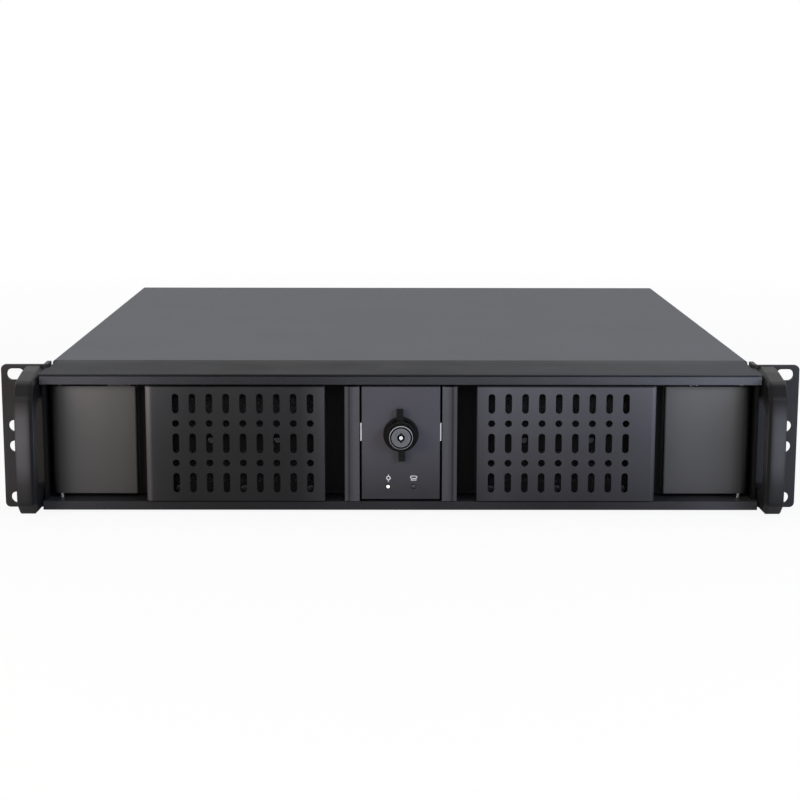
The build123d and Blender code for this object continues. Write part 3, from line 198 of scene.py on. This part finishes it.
def satinEnamel(name, **changes):
    # stoved satin enamel over smooth metal: charcoal, with faint orange peel and soft highlights;
    # painted shade darkens it along the height (tall), out from the middle of the case (wide) and
    # from its left end to its right one (across); each paint gives its own colour and shade
    v = {**satinPaint, **changes}
    made, tree, shader = newMaterial(name, Specular_IOR_Level=v["specular"])
    cloud = clouds(tree, v["cloud"], 3.0, scale=(1, 1, 0.4))
    tone = addNode(tree, "ValToRGB", [cloud], ((0.35, v["shade"]), (0.65, v["colour"])))
    colour = tone.outputs["Color"]
    gloss = addNode(tree, "MapRange", [cloud, *mostClouds, v["rough"] - 0.04, v["rough"] + 0.05])
    rough = gloss.outputs["Result"]
    apart = addNode(tree, "SeparateXYZ", [place(tree)]).outputs
    out = addNode(tree, "Math", [apart["X"]], operation="ABSOLUTE").outputs["Value"]
    if v["rubbed"]:
        # painted highlight: a lighter band at this distance from the middle of the case, where a rounded
        # edge catches the light
        share = along(tree, out, 0, halfWidth, v["rubbed"])
        colour = addNode(tree, "MixRGB", [share, colour, linear(v["highlightColour"])]).outputs["Color"]
    # painted shade: along each profile the colour is mixed towards near black where less light falls
    for value, low, high, stops in ((apart["Z"], 0, caseHeight, v["tall"]),
                                    (out, 0, halfWidth, v["wide"]),
                                    (apart["X"], -halfWidth, halfWidth, v["across"])):
        if stops:
            share = along(tree, value, low, high, stops)
            colour = addNode(tree, "MixRGB", [share, linear(v["shadeColour"]), colour]).outputs["Color"]
    if v["inner"]:
        # painted shade: nearer to the middle of the case than this pair of distances, behind the vents
        # and in the recesses where little light reaches, it is matt and almost black
        low, high = v["inner"]
        shown = along(tree, out, low, high, ((low, 0.0), (high, 1.0)))
        matt = (v["mattRough"], v["mattRough"], v["mattRough"], 1)
        colour = addNode(tree, "MixRGB", [shown, linear(v["shadeColour"]), colour]).outputs["Color"]
        rough = addNode(tree, "MixRGB", [shown, matt, rough]).outputs["Color"]
    finish(tree, shader, colour, rough, clouds(tree, v["peel"], 1.0, 0.4), v["height"])
    return made


zincSheet = dict(light="#b9bbbc", dark="#a1a4a6", spangle=6.0, line=0.35, lineShare=0.6, rough=0.34)


def zincPlatedSheet():
    # cold-rolled sheet with a bright zinc coat: faint rolling lines and cloudy crystals
    v = zincSheet
    made, tree, shader = newMaterial("zincPlatedSheet", Metallic=1.0)
    crystal = addNode(tree, "TexVoronoi", {
        "Vector": place(tree), "Scale": 1000 / v["spangle"], "Randomness": 1.0,
    })
    lines = clouds(tree, v["line"], 2.0, scale=(0.03, 1, 1))
    both = addNode(tree, "MixRGB", [v["lineShare"], crystal.outputs["Color"], lines])
    grey = addNode(tree, "RGBToBW", [both.outputs["Color"]]).outputs["Val"]
    colour = addNode(tree, "ValToRGB", [grey], ((0.25, v["dark"]), (0.75, v["light"])))
    rough = addNode(tree, "MapRange", [grey, 0.0, 1.0, v["rough"] - 0.08, v["rough"] + 0.12])
    finish(tree, shader, colour.outputs["Color"], rough.outputs["Result"], lines, 0.01, 0.5)
    return made


def scratchedMetal(name, light, dark, rough, line=0.6, metallic=1.0):
    # metal drawn, rolled or plated, with fine scratches running up and down
    made, tree, shader = newMaterial(name, Metallic=metallic)
    marks = clouds(tree, line, 3.0, scale=(1, 1, 0.15))
    colour = addNode(tree, "ValToRGB", [marks], ((0.2, dark), (0.8, light)))
    dulled = addNode(tree, "MapRange", [marks, 0.0, 1.0, rough * 0.8, rough * 1.3])
    finish(tree, shader, colour.outputs["Color"], dulled.outputs["Result"], marks, 0.01, 0.5)
    return made


mouldGrain = dict(grain=0.9, height=0.03, cloud=17.0)


def mouldedPlastic(name, colour, shade, rough, specular=0.35):
    # injection-moulded plastic from a spark-eroded mould: even colour and a fine matt grain
    v = mouldGrain
    made, tree, shader = newMaterial(name, Specular_IOR_Level=specular)
    grain = addNode(tree, "TexVoronoi", {
        "Vector": place(tree), "Scale": 1000 / v["grain"],
    }, feature="SMOOTH_F1").outputs["Distance"]
    tone = addNode(tree, "ValToRGB", [clouds(tree, v["cloud"])], ((0.35, shade), (0.65, colour)))
    matt = addNode(tree, "MapRange", [grain, 0.0, 1.0, rough - 0.04, rough + 0.1])
    finish(tree, shader, tone.outputs["Color"], matt.outputs["Result"], grain, v["height"])
    return made


foamLook = dict(strut="#262628", gap="#070708", cell=1.4, height=0.4, rough=0.95, specular=0.2)


def filterFoamFace():
    # reticulated polyether foam: charcoal and matt, with open cells between thin struts; painted shade
    # darkens each cell's middle
    v = foamLook
    made, tree, shader = newMaterial("reticulatedFoam", Specular_IOR_Level=v["specular"])
    cells = addNode(tree, "TexVoronoi", {
        "Vector": place(tree), "Scale": 1000 / v["cell"],
    }, feature="DISTANCE_TO_EDGE").outputs["Distance"]
    struts = addNode(tree, "MapRange", [cells, 0.0, 0.3, 1.0, 0.0]).outputs["Result"]
    colour = addNode(tree, "ValToRGB", [cells], ((0.05, v["strut"]), (0.35, v["gap"])))
    finish(tree, shader, colour.outputs["Color"], v["rough"], struts, v["height"], 1.0)
    return made


darkLens = dict(haze="#030303", core="#060505", glow=0.0, rough=0.5, coat=0.1, cloud=1.1)
litLens = dict(darkLens, haze="#2a2b2d", core="#ffffff", glow=0.6, rough=0.12, coat=0.6,
               coreTo=0.6, hazeFrom=1.1)  # the last two in millimetres from the lens's axis


def epoxyLens(name, piece, v):
    # cast epoxy lens with a little haze inside; the lit one glows in its middle and is smoky outside
    made, tree, shader = newMaterial(name, IOR=1.52, Coat_Weight=v["coat"], Coat_Roughness=0.05,
                                     Emission_Strength=v["glow"])
    cloud = clouds(tree, v["cloud"], 1.0)
    tone = addNode(tree, "ValToRGB", [cloud], ((0.3, v["haze"]), (0.7, v["core"])))
    if v["glow"]:
        away = fromAxis(tree, *middle(piece))
        fade = addNode(tree, "MapRange", [away, v["coreTo"] * mm, v["hazeFrom"] * mm, 0.0, 1.0])
        outside = fade.outputs["Result"]
        tone = addNode(tree, "MixRGB", [outside, linear(v["core"]), linear(v["haze"])])
        glow = addNode(tree, "MixRGB", [outside, linear(v["core"]), (0, 0, 0, 1)])
        tree.links.new(glow.outputs["Color"], shader.inputs["Emission Color"])
    finish(tree, shader, tone.outputs["Color"], v["rough"], cloud, 0.005, 0.3)
    return made


# pin, keyway, face and groove each end at this distance from the axis, in millimetres, and at this
# wave scale the turning marks are about 1 mm apart, coarser than real ones so that they show
lockFace = dict(plain="#74767b", scratched="#5f6166", rim="#a6a8ad", shine="#eceef0", lockShade="#050506",
                pin=1.12, keyway=2.35, face=5.62, groove=6.6, blur=0.03, turning=320.0)


def turnedLock(piece):
    # smoked chrome turned on a lathe, with a grey face, and painted light by distance from the lock's
    # axis: a painted highlight on the pin and the rim, and painted shade in the keyway and the groove
    v = lockFace
    made, tree, shader = newMaterial("smokedChrome", Metallic=1.0)
    x, z = middle(piece)
    away = fromAxis(tree, x, z)
    marks = addNode(tree, "TexWave", {
        "Vector": place(tree, location=(-x, 0, -z)), "Scale": v["turning"], "Distortion": 0.6,
    }, wave_type="RINGS", rings_direction="Y").outputs["Fac"]
    face = addNode(tree, "ValToRGB", [marks], ((0.2, v["scratched"]), (0.8, v["plain"])))
    colour = face.outputs["Color"]
    # painted light ring by ring: shade in the groove and the keyway, highlights on the rim and the pin
    for edge, tone, near, far in ((v["face"], v["lockShade"], 0.0, 1.0), (v["groove"], v["rim"], 0.0, 1.0),
                                  (v["keyway"], v["lockShade"], 1.0, 0.0), (v["pin"], v["shine"], 1.0, 0.0)):
        low, high = (edge - v["blur"]) * mm, (edge + v["blur"]) * mm
        share = addNode(tree, "MapRange", [away, low, high, near, far])
        ring = addNode(tree, "MixRGB", [share.outputs["Result"], colour, linear(tone)])
        colour = ring.outputs["Color"]
    rough = addNode(tree, "MapRange", [marks, 0.0, 1.0, 0.22, 0.34])
    finish(tree, shader, colour, rough.outputs["Result"], marks, 0.01, 0.5)
    return made


boardLook = dict(mask="#0d3a1d", track="#1d5a30", spacing=6.0, rough=0.28)


def solderMask():
    # green solder mask over copper tracks, which show as lighter lines under a glossy skin
    v = boardLook
    made, tree, shader = newMaterial("solderMask")
    tracks = addNode(tree, "TexBrick", {
        "Vector": place(tree, rotation=(radians(90), 0, 0)), "Scale": 1000 / v["spacing"],
        "Mortar Size": 0.06, "Brick Width": 0.9, "Row Height": 0.22,
    }).outputs["Fac"]
    colour = addNode(tree, "ValToRGB", [tracks], ((0.2, v["mask"]), (0.8, v["track"])))
    finish(tree, shader, colour.outputs["Color"], v["rough"], tracks, 0.03, 0.5)
    return made


inkLook = dict(thin="#9c9d9f", thick="#b9babc", cloud=0.4, rough=0.6, specular=0.3)


def screenInk():
    # white screen-printed ink: chalky, with a slightly uneven film
    v = inkLook
    made, tree, shader = newMaterial("screenPrintedInk", Specular_IOR_Level=v["specular"])
    film = clouds(tree, v["cloud"])
    colour = addNode(tree, "ValToRGB", [film], ((0.3, v["thin"]), (0.7, v["thick"])))
    finish(tree, shader, colour.outputs["Color"], v["rough"], film, 0.004)
    return made


# each paint's stops are (millimetres, share of its colour): upwards for tall, outwards from the case's
# middle for wide and for the edge highlight, and along X for across; the shares are painted shade and
# painted highlights, and the pieces' colours are partly their own tone and partly painted light and shade
# painted shade on the door plates: darker towards the foot, lighter and darker in turn along X, fading to
# near black towards the handles, and near black towards the middle
platePaint = satinEnamel("satinEnamelPlate", colour="#4f4f4f", shade="#494949", inner=(157.6, 158.6),
                         tall=((12, 0.50), (45, 0.66), (66, 0.86), (77, 1.0)),
                         across=((-209, 0.03), (-206, 0.1), (-202.5, 0.45), (-199, 0.85), (-195, 1.0),
                                 (-186, 0.9), (-175, 0.76), (-165, 0.66), (-157, 0.56), (157, 0.9),
                                 (170, 1.0), (195, 1.0), (199, 0.95), (202.5, 0.6), (206, 0.2),
                                 (209, 0.05)))
# painted shade on the pull rails: darker towards the foot and in a dark line along each rib's groove
ribPaint = satinEnamel("satinEnamelRib", colour="#3d3d42", shade="#38383d", tall=((12, 0.8), (77, 1.0)),
                       wide=((27.9, 1.0), (28.9, 0.8), (29.5, 0.55), (30.1, 0.7), (30.7, 0.05),
                             (31.3, 0.25), (32.0, 0.75), (33.2, 0.7)))
earPaint = satinEnamel("satinEnamelEar", colour="#262628", shade="#212123", specular=0.17)
# painted shade: the bezel ends, in shade between the handles and the doors, are coloured almost black
endPaint = satinEnamel("satinEnamelEnd", colour="#0d0d0e", shade="#0b0b0c", specular=0.1)
# painted light and shade on the rails: lighter and darker in turn along X as the light falls, and the top
# rail darker above its front edge
topRailPaint = satinEnamel("satinEnamelTopRail", colour="#4d4f54", shade="#484a4f", rough=0.60,
                           specular=0.10, tall=((84.7, 1.0), (85.4, 0.45)),
                           across=((-203, 0.60), (-174, 0.52), (-145, 0.34), (-102, 0.21), (-59, 0.23),
                                   (-30, 0.31), (27, 0.37), (70, 0.45), (99, 0.52), (128, 0.67),
                                   (157, 0.77), (185, 0.95), (200, 1.0)))
lowRailPaint = satinEnamel("satinEnamelLowRail", colour="#343437", shade="#303033", specular=0.12,
                           across=((-203, 0.73), (-174, 0.5), (-145, 0.31), (-100, 0.2), (-59, 0.25),
                                   (-30, 0.38), (0, 0.5), (40, 0.46), (90, 0.35), (128, 0.45),
                                   (157, 0.65), (185, 1.0)))
# painted shade: the centre housing is darker towards its foot
housingPaint = satinEnamel("satinEnamelHousing", colour="#3d3d44", shade="#38383f",
                           tall=((12, 0.28), (45, 0.86), (77, 0.88)))
# painted light and shade: the left vent plate is a darker copy and the right one a lighter, bluer one,
# both darker towards the foot and across the middle, with a painted highlight on each outer edge
leftVentPaint = satinEnamel("satinEnamelLeftVent", colour="#3a3a3c", shade="#353537", rough=0.40,
                            specular=0.14, tall=((12, 0.42), (45, 0.58), (77, 0.95)),
                            wide=((45, 1.0), (50, 0.75), (60, 0.36), (125, 0.36), (146, 0.7), (150, 1.0)),
                            rubbed=((148.0, 0.0), (150.2, 0.5), (152, 0.5)))
rightVentPaint = satinEnamel("satinEnamelRightVent", colour="#47474d", shade="#414147", rough=0.38,
                             specular=0.22, tall=((12, 0.28), (45, 0.57), (77, 1.0)),
                             wide=((45, 0.7), (56, 1.0), (70, 0.85), (125, 0.82), (150, 1.0)),
                             rubbed=((149.4, 0.0), (151.0, 0.3), (152, 0.3)))
# painted shade on the handles: dark at the top, the foot and along the inner bevel, with the lighter
# bands between standing for highlights
handlePaint = satinEnamel("paintedDieCasting", colour="#4a4a4d", shade="#444447", rough=0.36,
                          specular=0.12, peel=1.4, height=0.03,
                          tall=((8, 0.12), (22, 0.3), (34, 0.75), (50, 0.9), (62, 0.8), (74, 0.08)),
                          wide=((215.4, 1.0), (215.8, 0.05), (217.0, 0.05), (217.8, 0.5), (219.6, 0.9),
                                (222, 1.0), (225.2, 1.0), (225.8, 0.1)))

# after a metal's or a plastic's name: its light and dark tone, then its roughness
screwZinc = scratchedMetal("brightZincScrew", "#c9cacc", "#8f9193", 0.26)
# painted shade: a darker copy of the zinc for the screws behind the vents, which sit in shade
shadedScrewZinc = scratchedMetal("shadedZincScrew", "#4d4e50", "#303133", 0.40)
screwBlack = scratchedMetal("blackOxideSteel", "#2e2e30", "#1b1b1d", 0.42, metallic=0.6)
chromed = scratchedMetal("polishedChrome", "#dcdde0", "#c2c4c8", 0.10)
socketMetal = scratchedMetal("nickelPlatedShell", "#84868b", "#5d5f64", 0.24)
turnedBrass = scratchedMetal("turnedBrass", "#c7a35a", "#9a7b3c", 0.24, line=0.5)
nylon = mouldedPlastic("mouldedNylon", "#070708", "#060606", 0.45, specular=0.12)
fanPlastic = mouldedPlastic("mouldedPolyester", "#18181a", "#131315", 0.4)
controlPlastic = mouldedPlastic("mouldedAbs", "#1e1e20", "#19191b", 0.45)

dress(powderCoatedSteel(), "chassis_tray", "top_cover", "rear_panel", "front_bulkhead")
dress(platePaint, *bothSides("door_panel"))
dress(ribPaint, *bothSides("pull_rail"))
dress(earPaint, *bothSides("ear"))
dress(endPaint, *bothSides("bezel_end"))
dress(topRailPaint, "bezel_top_rail")
dress(lowRailPaint, "bezel_bottom_rail")
dress(housingPaint, "centre_housing")
dress(leftVentPaint, "left_vent_plate")
dress(rightVentPaint, "right_vent_plate")
dress(handlePaint, *bothSides("handle"))
dress(zincPlatedSheet(), "drive_cage", "slot_covers", "psu_shelf", "bolt_guide",
      *bothSides("filter_retainer"))
dress(screwZinc, "guide_screws", "slot_screws", "fan_screws", "control_screws", *bothSides("hinge_pin"))
dress(shadedScrewZinc, *bothSides("filter_screws"))
dress(screwBlack, "cover_screws", "ear_screws", "handle_screws")
dress(chromed, "left_bolt", "right_bolt")
dress(turnedLock("lock_cylinder"), "lock_cylinder", "key_plug")
dress(socketMetal, "data_sockets")
dress(turnedBrass, "lock_pinion", "board_standoffs")
dress(nylon, "wing_knob", "lock_ring")
dress(fanPlastic, "fan_frame", "fan_rotor")
dress(controlPlastic, "control_block", "power_button", "reset_button")
dress(epoxyLens("milkyEpoxyLens", "power_lamp", litLens), "power_lamp")
dress(epoxyLens("smokedEpoxyLens", "disk_lamp", darkLens), "disk_lamp")
dress(solderMask(), "lamp_board", "control_board")
print("materials made:", len(bpy.data.materials))


# foam pads: sizes and places in millimetres, columns out from the case's middle and rows up from its foot

filterPad = dict(pitch=0.8, cell=2.2, depth=0.55, reach=0.75, rim=1.5, clear=0.05, fill=0.9,
                 screwHole=1.9, screwColumns=(54.0, 94.0, 134.0), screwRows=(14.7, 74.1),
                 barColumns=(74.0, 114.0), barRow=44.4, frontSeed=3, backSeed=7)
cellGrid = 400  # cells each way before their jitter repeats
gridMiddle = 300  # millimetres from the grid's left edge to the case's middle
farAway = 9.0  # further than any neighbouring cell, in cells
foamFace = filterFoamFace()


def newPiece(name, points, faces, material, body):
    # a mesh from points in millimetres, riding on its body
    mesh = bpy.data.meshes.new(name)
    mesh.from_pydata((points * mm).tolist(), [], faces)
    mesh.validate()
    piece = bpy.data.objects.new(name, mesh)
    bpy.context.scene.collection.objects.link(piece)
    dress(material, piece)
    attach(piece, body)
    return piece


def cellDepth(x, z, seed):
    # 1 in the middle of each foam cell and 0 on the struts between them: 1 less the distance to the
    # nearest of a jittered grid of points, as a share of a cell's reach, and never under 0
    v = filterPad
    across, up = (x + gridMiddle) / v["cell"], z / v["cell"]
    jitter = np.random.default_rng(seed).random((cellGrid, cellGrid, 2))
    column, row = np.floor(across).astype(int), np.floor(up).astype(int)
    nearest = np.full(across.shape, farAway)
    for i in (-1, 0, 1):
        for j in (-1, 0, 1):
            shift = jitter[(column + i) % cellGrid, (row + j) % cellGrid]
            gapX = (column + i + shift[..., 0]) - across
            gapZ = (row + j + shift[..., 1]) - up
            nearest = np.minimum(nearest, np.hypot(gapX, gapZ))
    return np.clip(1 - nearest / v["reach"], 0, 1)


def padFaces(index, kept):
    # quads on both faces wherever a cell is kept, and a wall on each side of a kept cell that has
    # no kept neighbour; the back's points come one whole grid after the front's
    back = index.size
    countX, countZ = kept.shape
    corner = np.stack([index[:-1, :-1], index[1:, :-1], index[1:, 1:], index[:-1, 1:]], -1)
    quads = [corner[kept], corner[kept][:, ::-1] + back]
    padded = np.pad(kept, 1)
    for stepX, stepZ, first, second in ((0, -1, 0, 1), (1, 0, 1, 2), (0, 1, 2, 3), (-1, 0, 3, 0)):
        beside = padded[1 + stepX:countX + 1 + stepX, 1 + stepZ:countZ + 1 + stepZ]
        bare = corner[kept & ~beside]
        a, b = bare[:, first], bare[:, second]
        quads.append(np.stack([b, a, a + back, b + back], -1))
    return np.concatenate(quads).tolist()


def makeFilterPad(side):
    # a foam pad cut from sheet: two grids of points, pressed in by the depth of their cells and
    # level at the rim, with the cells left out where screws pass
    v = filterPad
    low, high = [np.array(corner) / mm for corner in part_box(side + "_filter_foam")]
    sign = -1 if side == "left" else 1
    countX, countZ = [int(round((high[i] - low[i]) / v["pitch"])) for i in (0, 2)]
    lineX = np.linspace(low[0], high[0], countX + 1)
    lineZ = np.linspace(low[2], high[2], countZ + 1)
    x, z = np.meshgrid(lineX, lineZ, indexing="ij")
    edge = np.minimum.reduce([x - low[0], high[0] - x, z - low[2], high[2] - z])
    dent = v["depth"] * np.clip(edge / v["rim"], 0, 1)
    front = low[1] + v["clear"] + dent * cellDepth(x, z, v["frontSeed"])
    back = high[1] - v["clear"] - dent * cellDepth(x, z, v["backSeed"])
    points = np.stack([np.stack([x, front, z], -1), np.stack([x, back, z], -1)]).reshape(-1, 3)

    middleX, middleZ = (x[:-1, :-1] + x[1:, 1:]) / 2, (z[:-1, :-1] + z[1:, 1:]) / 2
    kept = np.ones(middleX.shape, bool)
    screws = [(column, row) for column in v["screwColumns"] for row in v["screwRows"]]
    screws += [(column, v["barRow"]) for column in v["barColumns"]]
    for column, row in screws:
        kept &= np.hypot(middleX - sign * column, middleZ - row) > v["screwHole"]

    faces = padFaces(np.arange(x.size).reshape(x.shape), kept)
    pad = newPiece(side + "_foam_pad", points, faces, foamFace, side + "_door")
    pad.data.polygons.foreach_set("use_smooth", np.ones(len(pad.data.polygons), bool))
    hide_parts(side + "_filter_foam")


for side in ("left", "right"):
    makeFilterPad(side)
print("foam pads made")


# printed marks over the lamps, in millimetres on the centre housing's face

inkFilm = dict(sunk=0.04, proud=0.02, pinhole=0.04, corners=48)
powerMark = dict(spot=(-7.4, 23.1), ring=2.7, hole=1.5, strokeWidth=0.45,
                 strokes=((1.75, 0.75), (-1.85, 0.95)))  # rise and height
diskMark = dict(spot=(7.7, 23.0),
                bands=((0.62, (4.2, 2.0, 3.0), (3.1, 1.05, 3.0)),  # rise, then width, height and
                       (-0.95, (3.4, 1.15, 4.0), (2.5, 0.5, 3.0))))  # squareness outside and inside
ink = screenInk()


def band(outer, inner, front, back):
    # a flat closed ring between two loops of the same count: four loops of points, the outer and
    # the inner one at each depth, and quads that join each loop to the next all the way round
    count = len(outer)
    loops = [(outer, front), (inner, front), (outer, back), (inner, back)]
    points = np.concatenate([np.insert(loop, 1, y, axis=1) for loop, y in loops])
    now = np.arange(count)
    later = (now + 1) % count
    pairs = ((0, 1), (3, 2), (2, 0), (1, 3))
    faces = [np.stack([now + a * count, later + a * count, later + b * count, now + b * count], -1)
             for a, b in pairs]
    return points, np.concatenate(faces)


def oval(centre, width, height, power=2.0):
    # a closed loop: half the size times the cosine and the sine of the turn, each raised to 2 over
    # the power with its sign kept, which is an ellipse for power 2 and squarer for more
    turn = np.linspace(0, 2 * np.pi, inkFilm["corners"], endpoint=False)
    flat = [np.sign(wave) * np.abs(wave) ** (2 / power) for wave in (np.cos(turn), np.sin(turn))]
    return np.stack([centre[0] + flat[0] * width / 2, centre[1] + flat[1] * height / 2], -1)


def stroke(centre, width, height):
    # a small upright stroke, as a ring whose middle is all but closed
    return oval(centre, width, height, 6.0), oval(centre, inkFilm["pinhole"], inkFilm["pinhole"])


def printMark(name, rings):
    # rings of ink a few hundredths of a millimetre thick, printed on the centre housing
    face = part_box("centre_housing")[0][1] / mm
    points, faces, count = [], [], 0
    for outer, inner in rings:
        some, quads = band(outer, inner, face - inkFilm["sunk"], face + inkFilm["proud"])
        points.append(some)
        faces.append(quads + count)
        count += len(some)
    newPiece(name, np.concatenate(points), np.concatenate(faces).tolist(), ink, "case")


def makePowerMark():
    # a ring with one stroke over it and one under it
    v = powerMark
    x, z = v["spot"]
    rings = [(oval(v["spot"], v["ring"], v["ring"]), oval(v["spot"], v["hole"], v["hole"]))]
    rings += [stroke((x, z + rise), v["strokeWidth"], height) for rise, height in v["strokes"]]
    printMark("power_mark", rings)


def makeDiskMark():
    # a wide rounded band with a smaller one under it
    x, z = diskMark["spot"]
    printMark("disk_mark", [(oval((x, z + rise), *outer), oval((x, z + rise), *inner))
                            for rise, outer, inner in diskMark["bands"]])


makePowerMark()
makeDiskMark()
print("marks printed")


# floor, light and camera, in metres and watts

stageLook = dict(floor="#e6e6e6", whiteFrom=0.55, whiteTo=1.3, nearSeen=0.92, nearMirrored=0.10,
                 floorSide=12.0, sky="#f4f6fa", skyStrength=0.30)
lamps = {  # place, aim, width, height, watts, colour
    "topSoftbox": ((0.0, 0.35, 1.7), (0, 0, 0), 1.8, 1.0, 11, "#ffffff"),
    "frontFill": ((0.0, -1.6, 0.9), (0, -0.2, 0.05), 1.6, 0.6, 4, "#ffffff"),
    "rightPanel": ((0.80, -0.98, 0.36), (0.15, -0.2, 0.05), 0.45, 0.40, 10, "#dbe6ff"),
    "leftPanel": ((-0.80, -0.98, 0.36), (-0.15, -0.2, 0.05), 0.45, 0.40, 9, "#ffedd9"),
}
cameraLook = dict(place=(-7.2 * mm, -1242.65 * mm, 251.9 * mm), lens=78.9, sensor=36.0,
                  down=10.03, right=0.37, roll=0.12)  # the last three in degrees


def raySwitch(tree, *kinds):
    # 1 for a ray of any of these kinds
    path = addNode(tree, "LightPath")
    found = path.outputs[kinds[0]]
    for kind in kinds[1:]:
        joined = addNode(tree, "Math", [found, path.outputs[kind]], operation="MAXIMUM")
        found = joined.outputs["Value"]
    return found


def makeFloor():
    # a flat square under the case; away from the object it turns plain white, so no horizon shows
    v = stageLook
    half = v["floorSide"] / 2
    mesh = bpy.data.meshes.new("floor")
    mesh.from_pydata([(-half, -half, 0), (half, -half, 0), (half, half, 0), (-half, half, 0)],
                     [], [(0, 1, 2, 3)])
    floor = bpy.data.objects.new("floor", mesh)
    bpy.context.scene.collection.objects.link(floor)
    made, tree, shader = newMaterial("paperFloor", Base_Color=linear(v["floor"]), Roughness=0.9,
                                     Specular_IOR_Level=0.1)
    away = addNode(tree, "VectorMath", [place(tree)], operation="LENGTH").outputs["Value"]
    shares = []
    for kinds, near in ((("Is Camera Ray", "Is Transmission Ray"), v["nearSeen"]),
                        (("Is Glossy Ray",), v["nearMirrored"])):
        fade = addNode(tree, "MapRange", [away, v["whiteFrom"], v["whiteTo"], near, 1.0])
        rays = raySwitch(tree, *kinds)
        share = addNode(tree, "Math", [rays, fade.outputs["Result"]], operation="MULTIPLY")
        shares.append(share.outputs["Value"])
    share = addNode(tree, "Math", shares, operation="MAXIMUM").outputs["Value"]
    white = addNode(tree, "Emission", {"Color": (1, 1, 1, 1), "Strength": 1.0})
    mixed = addNode(tree, "MixShader", [share, shader.outputs["BSDF"], white.outputs["Emission"]])
    out = next(n for n in tree.nodes if n.type == "OUTPUT_MATERIAL")
    tree.links.new(mixed.outputs["Shader"], out.inputs["Surface"])
    mesh.materials.append(made)


def makeWorld():
    # soft grey light for the surfaces, plain white for what the camera and reflections see
    v = stageLook
    world = bpy.data.worlds.new("studio")
    bpy.context.scene.world = world
    world.use_nodes = True
    tree = world.node_tree
    tree.nodes.clear()
    seen = raySwitch(tree, "Is Camera Ray", "Is Transmission Ray", "Is Glossy Ray")
    soft = addNode(tree, "Background", {"Color": linear(v["sky"]), "Strength": v["skyStrength"]})
    white = addNode(tree, "Background", {"Color": (1, 1, 1, 1), "Strength": 1.0})
    mixed = addNode(tree, "MixShader", [seen, soft.outputs["Background"], white.outputs["Background"]])
    addNode(tree, "OutputWorld", {"Surface": mixed.outputs["Shader"]})


def makeLamps():
    for name, (at, aim, width, height, watts, colour) in lamps.items():
        light = bpy.data.lights.new(name, "AREA")
        light.shape = "RECTANGLE"
        light.size, light.size_y = width, height
        light.energy = watts
        light.color = linear(colour)[:3]
        lamp = bpy.data.objects.new(name, light)
        bpy.context.scene.collection.objects.link(lamp)
        lamp.location = at
        lamp.rotation_euler = (Vector(aim) - Vector(at)).to_track_quat("-Z", "Y").to_euler()


def makeCamera():
    v = cameraLook
    lens = bpy.data.cameras.new("camera")
    lens.lens = v["lens"]
    lens.sensor_width = v["sensor"]
    camera = bpy.data.objects.new("camera", lens)
    bpy.context.scene.collection.objects.link(camera)
    camera.location = v["place"]
    turn = Euler((radians(90 - v["down"]), 0, radians(-v["right"]))).to_matrix()
    tip = Euler((0, 0, radians(v["roll"]))).to_matrix()
    camera.rotation_euler = (turn @ tip).to_euler()
    bpy.context.scene.camera = camera


makeFloor()
makeWorld()
makeLamps()
makeCamera()
bpy.context.scene.view_settings.view_transform = "Standard"
print("stage set")
